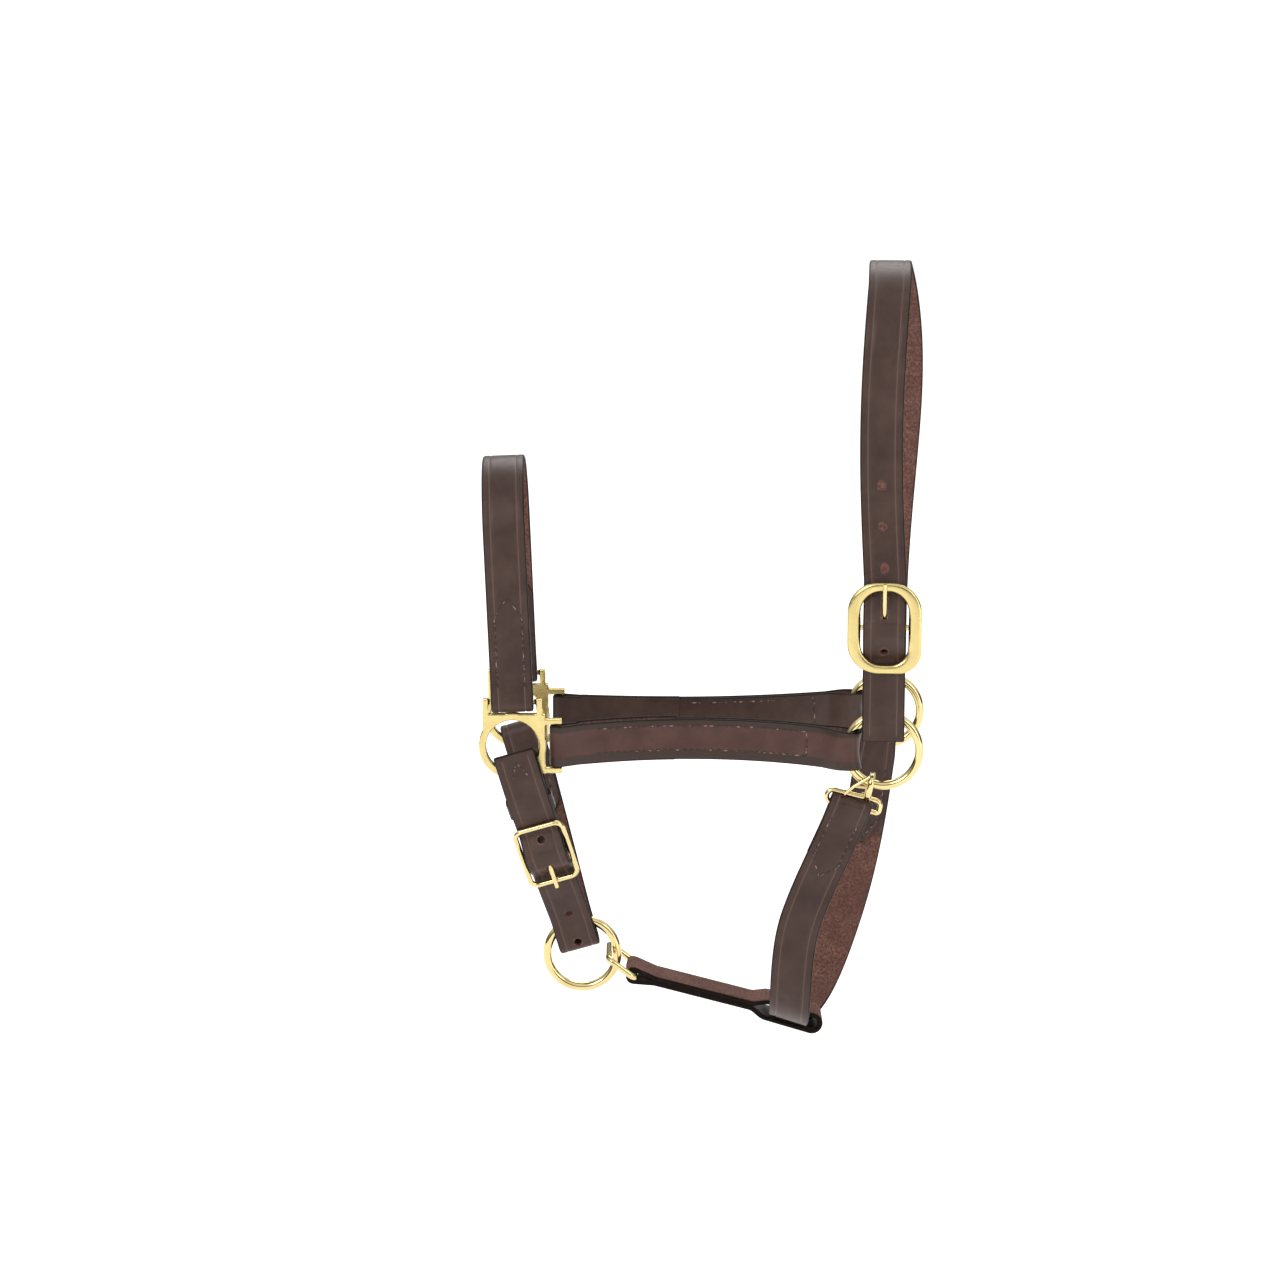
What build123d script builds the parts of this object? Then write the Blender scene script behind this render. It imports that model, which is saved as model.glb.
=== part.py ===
from build123d import *
import os
from math import atan2, cos, degrees, radians, sin, sqrt

os.makedirs("parts", exist_ok=True)

# The origin is the middle of the noseband's inner face, where it rests on the horse's nose.
# +X runs back towards the poll, +Y to the far (off) side, +Z up. All lengths in millimetres.

# Leather
STRAP_WIDTH = 25.4
LEATHER = 3.6
CHAPE_LEATHER = 3.0
NECK_WIDTH = 17.0
GAP = 0.35

# Where the two hinge lines run, and how far their ends stand from the middle
AXIS_Z = -166.6
SQUARE_X = 5.6
SQUARE_Y = 41.0
RING_X = 232.8
RING_Y = 53.2
RING_YAW = 4.48

# Round rings and the halter squares
RING_BORE_R = 19.05
RING_WIRE_R = 2.7
SQUARE_BORE_R = 15.9
SQUARE_RIM_R = 20.4
SQUARE_THICK = 4.5
BAR_R = 1.6
TOP_BAR_Z = 27.0
BACK_BAR_X = 28.0

# Straps
NOSE_HALF_SPAN = SQUARE_Y + LEATHER / 2
NOSE_TAIL = 66.0
CHEEK_END_SLOPE = {"near": 26.0, "far": 14.0}
CHEEK_RING_BORE = 3.9
CROWN_HALF_SPAN = 55.0
CROWN_TOP = 286.8
CROWN_TAIL = 62.0
CROWN_END = 7.3
THROAT_LEAN = 17.1
THROAT_DROP = 189.8
THROAT_HALF_SPAN = RING_Y + LEATHER / 2
THROAT_CORNER_R = 45.0
THROAT_TAIL = 86.0
SNAP_SKEW = 3.8
SNAP_PIVOT_Z = -144.0
SNAP_BAR_Z = -39.2
CHIN_LEAN = 16.0
CHIN_RING_DROP = 149.0
CHIN_LEG_SLOPE = 21.5
CHIN_LEG_PIVOT = 27.0
CHIN_FAR_BEND = -37.0
CHIN_TAIL = 34.0
CHIN_END = 2.5

# Buckles: bar height above the ring, half height of the frame's bar line, frame sizes
CROWN_BAR_L = 77.5
CROWN_REACH = 24.9
CHIN_BAR_L = 70.8
CHIN_REACH = 20.9
BUCKLE_BAR_IN = -10.6
BILLET_UNDER = -8.3
BILLET_OVER = -17.7
BUCKLE_BAR_R = 1.6
TONGUE_R = 1.4
HOLE_R = 2.4
HOLE_PITCH = 24.6
WORN_HOLE = 18.0

# Link and back strap
LINK_WIRE_R = 2.0
LINK_HALF_LENGTH = 10.2
LINK_HALF_WIDTH = 17.0
LINK_SLOPE = 37.0
BACK_LEATHER = 3.2
LOOP_HALF_LENGTH = 15.6
LOOP_HALF_HEIGHT = 4.9
LOOP_TILT = 17.0

RING_MID_R = RING_BORE_R + RING_WIRE_R


# ---------------------------------------------------------------- frames
def hinge_line(x, yaw=0.0):
    """A frame on one of the two hinge lines, its Y axis along the line."""
    return Location((x, 0, AXIS_Z), (0, 0, -yaw))


NOSE_LEAN = degrees(atan2(SQUARE_X, -AXIS_Z - TOP_BAR_Z))
nose_frame = Location((0, 0, 0), (0, -NOSE_LEAN, 0))
ring_frame = hinge_line(RING_X, RING_YAW)
square_frame = hinge_line(SQUARE_X)
throat_frame = ring_frame * Location((0, 0, 0), (0, THROAT_LEAN, 0))
snap_frame = (throat_frame * Location((0, 0, SNAP_PIVOT_Z), (0, -SNAP_SKEW, 0))
              * Location((0, 0, -SNAP_PIVOT_Z)))
chin_frame = square_frame * Location((0, 0, 0), (0, -CHIN_LEAN, 0))
crown_stack = ring_frame * Location((0, -RING_Y, 0))
chin_stack = (chin_frame * Location((0, -SQUARE_Y, -CHIN_LEG_PIVOT), (CHIN_LEG_SLOPE, 0, 0))
              * Location((0, 0, CHIN_LEG_PIVOT), (0, 180, 0)))


def chin_ring_centre():
    """Centre of the chin ring, straight down the chin frame from the squares' line."""
    lean = radians(CHIN_LEAN)
    return (SQUARE_X + CHIN_RING_DROP * sin(lean), AXIS_Z - CHIN_RING_DROP * cos(lean))


# ---------------------------------------------------------------- strap profiles
def path(points, radii):
    """A line through the points with a rounded corner at each inner one."""
    if len(points) == 2:
        return Line(*points)
    return FilletPolyline(*points, radius=radii)


def ribbon(points, radii=None, thick=LEATHER):
    """A strap seen edge on: the path thickened equally to both sides."""
    return trace(path(points, radii), thick)


def polygon(*points):
    """A face inside the points, leaving out any point that repeats."""
    return make_face(Polyline(*dict.fromkeys(points), close=True))


def eye(bore, hold, taper, skin=LEATHER):
    """A strap end folded round a bar at the origin; the doubled strap leaves along +X."""
    outer_r = bore + skin
    far = hold + taper
    outer = Circle(outer_r) + polygon(
        (0, outer_r), (hold, outer_r), (far, skin), (far, -skin), (hold, -outer_r), (0, -outer_r))
    inner = Circle(bore) + polygon((0, bore), (hold, bore), (far - 1, 0), (hold, -bore), (0, -bore))
    return outer - inner


def along(start, heading, distance, side=0.0):
    """The point at a distance along a heading in degrees, moved sideways to its left."""
    turn = radians(heading)
    return (start[0] + distance * cos(turn) - side * sin(turn),
            start[1] + distance * sin(turn) + side * cos(turn))


def placed(sketch, point, heading=0.0):
    return Location((point[0], point[1], 0), (0, 0, heading)) * sketch


def across(plane, sketch, width):
    """Extrude a profile drawn in a plane equally to both sides of that plane."""
    return extrude(plane * sketch, amount=width / 2, both=True)


def neck_cutters(centre_distance, reach):
    """Two boxes that narrow a strap to NECK_WIDTH where it lies inside a round ring."""
    side = (STRAP_WIDTH - NECK_WIDTH) / 2 + 1
    offset = NECK_WIDTH / 2 + side / 2
    block = Box(reach, 60, side)
    return [Pos(centre_distance, 0, offset) * block, Pos(centre_distance, 0, -offset) * block]


# ---------------------------------------------------------------- rings and squares
def wire_loop(half_x, half_y, corner_r, wire_r):
    """Round wire bent to a rounded rectangle in the XY plane."""
    corners = [(half_x, -half_y), (half_x, half_y), (-half_x, half_y), (-half_x, -half_y)]
    line = Wire(FilletPolyline(*corners, radius=corner_r, close=True).edges())
    section = Plane(origin=line @ 0, z_dir=line % 0) * Circle(wire_r)
    return sweep(section, path=line)


def round_ring():
    """A wire ring whose own axis is Y."""
    return Rot(90, 0, 0) * Torus(RING_MID_R, RING_WIRE_R)


def halter_square():
    """Cast square: a round eye with a strap slot above it and another behind it."""
    wall_in = SQUARE_BORE_R - 0.2
    wall_out = 19.8
    slot_half = 14.4
    post = 3.6
    plate = Circle(SQUARE_RIM_R)
    plate += polygon((-18, wall_out), (wall_out, wall_out), (wall_out, -17.5), (4, -17.5), (-18, 4))
    plate -= Circle(SQUARE_BORE_R)
    for x in (-slot_half - post / 2, slot_half + post / 2):
        plate += Pos(x, (wall_in + TOP_BAR_Z) / 2 + 1) * Rectangle(post, TOP_BAR_Z - wall_in + 2)
    for z in (15.0, -15.2):
        plate += Pos((wall_in + BACK_BAR_X) / 2 + 1, z) * Rectangle(BACK_BAR_X - wall_in + 2, 3.6)
    body = across(Plane.XZ, plate, SQUARE_THICK)
    top_bar = Pos(0, 0, TOP_BAR_Z) * Rot(0, 90, 0) * Cylinder(BAR_R, 2 * slot_half + 2)
    back_bar = Pos(BACK_BAR_X, 0, -0.1) * Cylinder(BAR_R, 28.0)
    return body + top_bar + back_bar


# ---------------------------------------------------------------- straps on the head frame
def noseband():
    """Arched strap with both ends turned back through the squares' top slots."""
    bar_z = (AXIS_Z + TOP_BAR_Z) / cos(radians(NOSE_LEAN))
    bore = BAR_R + 0.95
    taper = 14.0
    half = NOSE_HALF_SPAN
    top = LEATHER / 2
    low = bar_z + taper
    profile = ribbon([(-half, low), (-half, top), (half, top), (half, low)], [42.0, 42.0])
    for side in (-1, 1):
        profile += placed(eye(bore, 0, taper), (side * SQUARE_Y, bar_z), 90)
        tail_y = side * (SQUARE_Y - LEATHER / 2)
        profile += ribbon([(tail_y, low), (tail_y, bar_z + NOSE_TAIL)])
    return nose_frame * across(Plane.YZ, profile, STRAP_WIDTH)


def ring_anchor(side):
    """Where a cheek's fold sits in its ring, in plan: the point just inside the wire."""
    reach = sqrt(RING_BORE_R**2 - (NECK_WIDTH / 2)**2) - GAP + CHEEK_RING_BORE
    yaw = radians(RING_YAW)
    x = RING_X - reach * cos(yaw) + side * RING_Y * sin(yaw)
    y = reach * sin(yaw) + side * RING_Y * cos(yaw)
    return (x, y)


def cheek(name, side):
    """Doubled strap from the square's back bar to the cheek ring, bowed towards the head."""
    front = (SQUARE_X + BACK_BAR_X, side * SQUARE_Y)
    back = ring_anchor(side)
    chord = degrees(atan2(back[1] - front[1], back[0] - front[0]))
    slope = -side * CHEEK_END_SLOPE[name]
    taper = 13.0
    hold = 4.0
    front_heading = chord + slope
    back_heading = chord + 180 - slope
    start = along(front, front_heading, taper)
    end = along(back, back_heading, hold + taper)
    turn = radians(slope)
    span = sqrt((end[0] - start[0])**2 + (end[1] - start[1])**2)
    sagitta = span / (2 * sin(abs(turn))) * (1 - cos(turn))
    bow = SagittaArc(start, end, sagitta * (1 if side < 0 else -1))
    profile = trace(bow, 2 * LEATHER)
    profile += placed(eye(BAR_R + GAP, 0, taper), front, front_heading)
    profile += placed(eye(CHEEK_RING_BORE, hold, taper), back, back_heading)
    strap = across(Plane.XY, profile, STRAP_WIDTH)
    for cutter in neck_cutters(back[0] - 1.5, 22):
        strap -= Pos(0, back[1], 0) * cutter
    return Pos(0, 0, AXIS_Z) * strap


# ---------------------------------------------------------------- buckled joints
# A buckled joint is drawn along +Z from its ring, with +Y towards the head.
def chape(fold, fold_heading, bore, hold, bar_z, reach):
    """Short doubled strap from its fold on a ring to the buckle's centre bar."""
    slack = (-2.9, bar_z - (reach - 4.4))
    bar = (BUCKLE_BAR_IN, bar_z)
    back_turn = degrees(atan2(slack[1] - bar[1], slack[0] - bar[0]))
    profile = placed(eye(bore, hold, 12, CHAPE_LEATHER), fold, fold_heading)
    profile += placed(eye(BUCKLE_BAR_R + 0.25, 0, 9, CHAPE_LEATHER), bar, back_turn)
    lead_out = along(fold, fold_heading, hold + 11)
    lead_in = along(bar, back_turn, 8.5)
    profile += ribbon([lead_out, slack, lead_in], [12], 2 * CHAPE_LEATHER)
    strap = across(Plane.YZ, profile, STRAP_WIDTH)
    return strap - Pos(0, BUCKLE_BAR_IN, bar_z) * Box(5.2, 14, 13)


def billet_points(bar_z, reach):
    """Path of the punched end: under the frame, over the centre bar, under the frame."""
    return [
        (BILLET_UNDER, bar_z - reach + 5.8),
        (BILLET_OVER, bar_z - 4.5),
        (BILLET_OVER, bar_z + 4.5),
        (BILLET_UNDER, bar_z + reach - 5.8),
    ]


def hole(z, length=0.0):
    """Punched hole through a billet; a worn one is longer along the strap."""
    cut = Cylinder(HOLE_R, 24)
    if length:
        cut = Box(2 * HOLE_R, length, 24)
    return Pos(0, BILLET_UNDER - 4, z) * Rot(90, 0, 0) * cut


def crown_buckle():
    """Rounded frame with wide sides and a centre bar."""
    plate = RectangleRounded(44.2, 2 * CROWN_REACH + 5.3, 15) - RectangleRounded(28.4, 44.6, 9)
    frame = across(Plane.XZ, plate, 4.5)
    frame = fillet(frame.edges().filter_by(GeomType.CIRCLE), 1.2)
    middle_y = CROWN_FRAME_FACE + 2.25
    bar = Pos(0, BUCKLE_BAR_IN - middle_y, 0) * Rot(0, 90, 0) * Cylinder(BUCKLE_BAR_R, 34)
    return Pos(0, middle_y, CROWN_BAR_L) * (frame + bar)


def chin_buckle():
    """Light wire frame with a centre bar."""
    half_x = 14.7
    frame = Rot(90, 0, 0) * wire_loop(half_x, CHIN_REACH, 5.0, BAR_R)
    middle_y = CHIN_FRAME_FACE + BAR_R
    bar = Pos(0, BUCKLE_BAR_IN - middle_y, 0) * Rot(0, 90, 0) * Cylinder(BUCKLE_BAR_R, 2 * half_x)
    return Pos(0, middle_y, CHIN_BAR_L) * (frame + bar)


def tongue(bar_z, reach, frame_y):
    """Prong looped round the centre bar, its tip lying on the frame."""
    rest_y = frame_y - TONGUE_R - 0.9
    tip_z = bar_z + reach + 2.4
    loop = Pos(0, BUCKLE_BAR_IN, bar_z) * Rot(0, 90, 0) * (Cylinder(3.4, 3.2) - Cylinder(1.85, 3.2))
    start = Vector(0, BUCKLE_BAR_IN - 3.15, bar_z + 0.6)
    end = Vector(0, rest_y, tip_z)
    prong = sweep(Plane(origin=start, z_dir=end - start) * Circle(TONGUE_R), path=Line(start, end))
    return loop + prong + Pos(end) * Sphere(TONGUE_R)


CROWN_FRAME_FACE = BILLET_UNDER - LEATHER / 2 - GAP - 4.5
CHIN_FRAME_FACE = BILLET_UNDER - LEATHER / 2 - GAP - 2 * BAR_R


# ---------------------------------------------------------------- crown
def ring_fold():
    """Distance from a ring's centre to the middle of a narrowed strap's fold."""
    half = NECK_WIDTH / 2
    return sqrt(RING_BORE_R**2 - half**2) + RING_WIRE_R


def narrowed(strap, sign):
    """Trim a strap's folded end, which lies along Z from the ring line, to the neck width."""
    side = STRAP_WIDTH - NECK_WIDTH
    offset = NECK_WIDTH / 2 + side / 2
    for x in (-offset, offset):
        strap -= Pos(x, 0, sign * 19) * Box(side, 40, 18)
    return strap


def crown_strap():
    """Billet up the near side, over the poll, and down to its fold in the far ring."""
    points = [(BILLET_UNDER, CROWN_END)] + billet_points(CROWN_BAR_L, CROWN_REACH)
    near = RING_Y - CROWN_HALF_SPAN
    far = RING_Y + CROWN_HALF_SPAN
    join = ring_fold() + 16
    points += [(near, 140), (near, CROWN_TOP), (far, CROWN_TOP), (far, join)]
    profile = ribbon(points, [8, 5, 5, 8, 30, CROWN_HALF_SPAN - 0.5, CROWN_HALF_SPAN - 0.5])
    profile += placed(eye(RING_WIRE_R + GAP, 3, 13), (2 * RING_Y, ring_fold()), 90)
    tail = 2 * RING_Y - LEATHER / 2
    profile += ribbon([(tail, join), (tail, ring_fold() + CROWN_TAIL)])
    strap = across(Plane.YZ, profile, STRAP_WIDTH)
    trimmed = Pos(0, 2 * RING_Y, 0) * narrowed(Pos(0, -2 * RING_Y, 0) * strap, 1)
    for step in (-3, -2, -1, 1):
        trimmed -= hole(CROWN_BAR_L + 10.4 - step * HOLE_PITCH)
    trimmed -= hole(CROWN_BAR_L + 12, WORN_HOLE)
    return crown_stack * trimmed


def crown_chape():
    fold = (0, ring_fold())
    body = chape(fold, 90, RING_WIRE_R + GAP, 3, CROWN_BAR_L, CROWN_REACH)
    return crown_stack * narrowed(body, 1)


# ---------------------------------------------------------------- throat
def throat_strap():
    """Far end folded in the far ring, under the throat, near end folded on the snap's bar."""
    half = THROAT_HALF_SPAN
    drop = -THROAT_DROP
    fold = -ring_fold()
    join = fold - 16
    cut = SNAP_PIVOT_Z + 1
    low = ribbon([(-half, cut), (-half, drop), (half, drop), (half, join)], [THROAT_CORNER_R] * 2)
    low += placed(eye(RING_WIRE_R + GAP, 3, 13), (RING_Y, fold), -90)
    tail = RING_Y - LEATHER / 2
    low += ribbon([(tail, join), (tail, -THROAT_TAIL)])
    far_part = across(Plane.YZ, low, STRAP_WIDTH)
    far_part = Pos(0, RING_Y, 0) * narrowed(Pos(0, -RING_Y, 0) * far_part, -1)
    snap_join = SNAP_BAR_Z - 12
    high = ribbon([(-half, SNAP_PIVOT_Z - 1), (-half, snap_join)])
    high += ribbon([(-half + LEATHER, -88), (-half + LEATHER, snap_join)])
    high += placed(eye(BAR_R + GAP, 0, 12), (-RING_Y, SNAP_BAR_Z), -90)
    near_part = across(Plane.YZ, high, STRAP_WIDTH)
    return throat_frame * far_part + snap_frame * near_part


# ---------------------------------------------------------------- snap hook
SNAP_NECK_X = 6.5
GATE_Y = 6.2
GATE_PIN_Z = -30.6


def snap_body():
    """Strap bar with end posts, a triangular web and a hook over the ring."""
    bar = Pos(0, 0, SNAP_BAR_Z) * Rot(0, 90, 0) * Cylinder(BAR_R, 34)
    top = Pos(0, 0, -31.6) * Rot(0, 90, 0) * Cylinder(1.4, 34)
    body = bar + top
    for x in (-15.6, 15.6):
        body += Pos(x, 0, (SNAP_BAR_Z - 31.6) / 2) * Box(3.0, 3.2, 10.4)
    web = polygon((-6, -31.6), (10, -31.6), (SNAP_NECK_X + 2.4, -27), (SNAP_NECK_X - 2.4, -27))
    body += across(Plane.XZ, web, 2.8)
    hook = path([(-1.2, -29), (-5.4, -27.0), (-5.4, -17.0), (GATE_Y, -17.0), (GATE_Y, -19.2)],
                [2.5, 4.0, 1.8])
    arm = trace(hook, 2.6)
    body += Pos(SNAP_NECK_X, 0, 0) * across(Plane.YZ, arm, 4.6)
    ear = Pos(SNAP_NECK_X, 3.4, GATE_PIN_Z) * Box(4.6, 8.0, 3.4)
    body += ear
    slot = Pos(SNAP_NECK_X, GATE_Y, GATE_PIN_Z) * Box(2.2, 6.0, 6.0)
    pin_hole = Pos(SNAP_NECK_X, GATE_Y - 0.4, GATE_PIN_Z) * Rot(0, 90, 0) * Cylinder(0.6, 8)
    return snap_frame * Pos(0, -RING_Y, 0) * (body - slot - pin_hole)


def snap_gate():
    """Small sprung leaf that closes the hook on its inner side."""
    leaf = Pos(SNAP_NECK_X, GATE_Y, -24.9) * Box(1.8, 1.8, 10.8)
    knuckle = Pos(SNAP_NECK_X, GATE_Y - 0.4, GATE_PIN_Z) * Rot(0, 90, 0) * Cylinder(1.3, 1.8)
    bore = Pos(SNAP_NECK_X, GATE_Y - 0.4, GATE_PIN_Z) * Rot(0, 90, 0) * Cylinder(0.65, 4)
    return snap_frame * Pos(0, -RING_Y, 0) * (leaf + knuckle - bore)


def snap_gate_pin():
    pin = Pos(SNAP_NECK_X, GATE_Y - 0.4, GATE_PIN_Z) * Rot(0, 90, 0) * Cylinder(0.6, 5.2)
    return snap_frame * Pos(0, -RING_Y, 0) * pin


# ---------------------------------------------------------------- chin
RIM_BORE = 3.4


def rim_fold():
    """Distance from a square's centre to the middle of a strap fold on its round rim."""
    return sqrt(SQUARE_BORE_R**2 - (STRAP_WIDTH / 2)**2) + 2.0


RIM_HOLD = SQUARE_RIM_R + 2.2 - rim_fold()


def chin_from_stack(point):
    """Turn a point of the chin's buckled joint into the chin frame's profile plane."""
    turn = radians(CHIN_LEG_SLOPE)
    y = point[0]
    z = point[1] - CHIN_LEG_PIVOT
    return (-SQUARE_Y + y * cos(turn) + z * sin(turn),
            -CHIN_LEG_PIVOT + y * sin(turn) - z * cos(turn))


def chin_strap():
    """Billet down the near side, round the chin ring's wire and up to the far square."""
    hang_y = chin_from_stack((BILLET_UNDER, CHIN_LEG_PIVOT))[0]
    points = [(hang_y - 2.0, -CHIN_END), (hang_y - 0.8, 3 - CHIN_LEG_PIVOT)]
    points += [chin_from_stack((BILLET_UNDER, CHIN_LEG_PIVOT + 8))]
    points += [chin_from_stack(p) for p in billet_points(CHIN_BAR_L, CHIN_REACH)]
    chord = sqrt(RING_BORE_R**2 - (STRAP_WIDTH / 2)**2)
    turn_r = RING_WIRE_R + GAP + LEATHER / 2
    bend_z = -(CHIN_RING_DROP - chord + GAP - RING_WIRE_R - GAP)
    above = -(CHIN_RING_DROP - RING_MID_R - RING_WIRE_R) + 1.5
    corner = (SQUARE_Y, CHIN_FAR_BEND)
    heading = degrees(atan2(above - corner[1], turn_r - corner[0]))
    single = along(corner, heading, CHIN_TAIL - 2, LEATHER / 2)
    points += [(-turn_r, above), (-turn_r, bend_z - turn_r), (turn_r, bend_z - turn_r),
               (turn_r, above), single]
    bend = turn_r - 0.05
    profile = ribbon(points, [30, 30, 8, 5, 5, 8, 12, bend, bend, 12])
    fold = (SQUARE_Y, -rim_fold())
    profile += placed(eye(RIM_BORE, RIM_HOLD, 12), fold, -90)
    lead_out = along(fold, -90, RIM_HOLD + 11)
    profile += ribbon([lead_out, corner, along(corner, heading, CHIN_TAIL)], [8], 2 * LEATHER)
    strap = across(Plane.YZ, profile, STRAP_WIDTH)
    cuts = [hole(CHIN_BAR_L + 12, WORN_HOLE)]
    cuts += [hole(CHIN_BAR_L + 13 + step * HOLE_PITCH) for step in (-1, 1, 1.8)]
    to_stack = chin_frame.inverse() * chin_stack
    for cut in cuts:
        strap -= to_stack * cut
    return chin_frame * strap


def chin_chape():
    """Chape that hangs straight off the near square's rim, then turns along the chin's leg."""
    turn = radians(CHIN_LEG_SLOPE)
    rise = CHIN_LEG_PIVOT - rim_fold()
    fold = (rise * sin(turn), CHIN_LEG_PIVOT - rise * cos(turn))
    heading = 90 + CHIN_LEG_SLOPE
    return chin_stack * chape(fold, heading, RIM_BORE, RIM_HOLD, CHIN_BAR_L, CHIN_REACH)


def chin_keeper():
    """Leather loop that holds the billet down on the chape."""
    inner_y = (BILLET_UNDER - LEATHER / 2 - 0.5, 2.4)
    depth = inner_y[1] - inner_y[0]
    wall = 2.0
    loop = Box(STRAP_WIDTH + 1 + 2 * wall, depth + 2 * wall, 12) - Box(STRAP_WIDTH + 1, depth, 12)
    return chin_stack * Pos(0, sum(inner_y) / 2, 38.5) * loop


# ---------------------------------------------------------------- link and back strap
def link_bars():
    """Centres, in X and Z, of the link's bar in the chin ring and its bar in the back strap."""
    x, z = chin_ring_centre()
    reach = RING_BORE_R - LINK_WIRE_R - 0.5
    first = (x + reach, z + 1.0)
    second = along(first, -LINK_SLOPE, 2 * LINK_HALF_LENGTH)
    return first, second


def oval_link():
    first, second = link_bars()
    middle = ((first[0] + second[0]) / 2, (first[1] + second[1]) / 2)
    link = wire_loop(LINK_HALF_LENGTH, LINK_HALF_WIDTH, 4.2, LINK_WIRE_R)
    return Location((middle[0], 0, middle[1]), (0, LINK_SLOPE, 0)) * link


def throat_low_point():
    """Middle of the throat strap's lowest stretch, in X and Z."""
    lean = radians(THROAT_LEAN)
    return (RING_X - THROAT_DROP * sin(lean), AXIS_Z - THROAT_DROP * cos(lean))


def back_strap():
    """Doubled strap from the link to a loop that runs loosely round the throat strap."""
    bar = link_bars()[1]
    low = throat_low_point()
    skin = BACK_LEATHER
    wall = skin / 2
    long_r = LOOP_HALF_HEIGHT + wall
    loop_start = along(low, 180 - LOOP_TILT, LOOP_HALF_LENGTH + 11)
    heading = degrees(atan2(loop_start[1] - bar[1], loop_start[0] - bar[0]))
    corner = LOOP_HALF_LENGTH + wall
    ends = [along(low, -LOOP_TILT, -corner - 10, wall), along(low, -LOOP_TILT, -corner, long_r),
            along(low, -LOOP_TILT, corner, long_r), along(low, -LOOP_TILT, corner, -long_r),
            along(low, -LOOP_TILT, -corner, -long_r), along(low, -LOOP_TILT, -corner - 10, -wall)]
    profile = ribbon(ends, [8, long_r - 0.1, long_r - 0.1, 8], skin)
    profile += placed(eye(LINK_WIRE_R + GAP, 0, 13, skin), bar, heading)
    profile += ribbon([along(bar, heading, 12.5), loop_start], None, 2 * skin)
    return across(Plane.XZ, profile, STRAP_WIDTH)


# ---------------------------------------------------------------- assembly
def build():
    """Every node's solid by name."""
    chin_x, chin_z = chin_ring_centre()
    nodes = {"noseband": noseband()}
    for name, side in (("near", -1), ("far", 1)):
        nodes[name + "_cheek_strap"] = cheek(name, side)
        nodes[name + "_square"] = Pos(SQUARE_X, side * SQUARE_Y, AXIS_Z) * halter_square()
        nodes[name + "_cheek_ring"] = ring_frame * Pos(0, side * RING_Y, 0) * round_ring()
    nodes["crown_strap"] = crown_strap()
    nodes["crown_chape"] = crown_chape()
    nodes["crown_buckle_frame"] = crown_stack * crown_buckle()
    nodes["crown_buckle_tongue"] = crown_stack * tongue(CROWN_BAR_L, CROWN_REACH, CROWN_FRAME_FACE)
    nodes["throat_strap"] = throat_strap()
    nodes["snap_hook_body"] = snap_body()
    nodes["snap_gate"] = snap_gate()
    nodes["snap_gate_pin"] = snap_gate_pin()
    nodes["chin_strap"] = chin_strap()
    nodes["chin_chape"] = chin_chape()
    nodes["chin_keeper"] = chin_keeper()
    nodes["chin_buckle_frame"] = chin_stack * chin_buckle()
    nodes["chin_buckle_tongue"] = chin_stack * tongue(CHIN_BAR_L, CHIN_REACH, CHIN_FRAME_FACE)
    nodes["chin_ring"] = Pos(chin_x, 0, chin_z) * round_ring()
    nodes["oval_link"] = oval_link()
    nodes["back_strap"] = back_strap()
    return nodes


for node_name, solid in build().items():
    export_step(solid, os.path.join("parts", node_name + ".step"))
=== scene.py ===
import math

import bpy
import numpy as np
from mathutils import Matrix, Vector


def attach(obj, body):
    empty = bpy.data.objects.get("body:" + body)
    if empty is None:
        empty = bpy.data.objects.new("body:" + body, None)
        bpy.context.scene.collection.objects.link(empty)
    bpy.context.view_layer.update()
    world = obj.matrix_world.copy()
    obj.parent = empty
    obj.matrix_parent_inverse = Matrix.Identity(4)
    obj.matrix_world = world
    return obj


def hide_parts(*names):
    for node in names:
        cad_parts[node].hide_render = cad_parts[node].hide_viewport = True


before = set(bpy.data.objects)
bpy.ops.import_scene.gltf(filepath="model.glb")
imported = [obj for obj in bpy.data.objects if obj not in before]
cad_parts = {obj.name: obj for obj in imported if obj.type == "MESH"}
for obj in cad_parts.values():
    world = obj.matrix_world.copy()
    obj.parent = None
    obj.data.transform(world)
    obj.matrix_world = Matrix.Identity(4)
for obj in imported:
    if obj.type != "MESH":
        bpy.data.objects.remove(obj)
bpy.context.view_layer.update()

# Lengths below are in millimetres and degrees, in the frame's own axes: +X runs back towards the
# poll, +Y to the far side, +Z up, and the origin is the middle of the noseband's inner face.
MM = 0.001

# ---------------------------------------------------------------- sizes shared with the model
STRAP_HALF = 12.7
LEATHER = 3.6
CHAPE_LEATHER = 3.0
BACK_LEATHER = 3.2
NECK_HALF = 8.5
GAP = 0.35
AXIS_Z = -166.6
SQUARE_X = 5.6
SQUARE_Y = 41.0
RING_X = 232.8
RING_Y = 53.2
RING_YAW = 4.48
RING_BORE_R = 19.05
RING_WIRE_R = 2.7
SQUARE_BORE_R = 15.9
SQUARE_RIM_R = 20.4
BAR_R = 1.6
TOP_BAR_Z = 27.0
BACK_BAR_X = 28.0
NOSE_TAIL = 66.0
CHEEK_END_SLOPE = {"near": 26.0, "far": 14.0}
CHEEK_RING_BORE = 3.9
CROWN_HALF_SPAN = 55.0
CROWN_TOP = 286.8
CROWN_TAIL = 62.0
CROWN_END = 7.3
THROAT_LEAN = 17.1
THROAT_DROP = 189.8
THROAT_CORNER_R = 45.0
THROAT_TAIL = 86.0
SNAP_SKEW = 3.8
SNAP_PIVOT_Z = -144.0
SNAP_BAR_Z = -39.2
CHIN_LEAN = 16.0
CHIN_RING_DROP = 149.0
CHIN_LEG_SLOPE = 21.5
CHIN_LEG_PIVOT = 27.0
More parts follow.
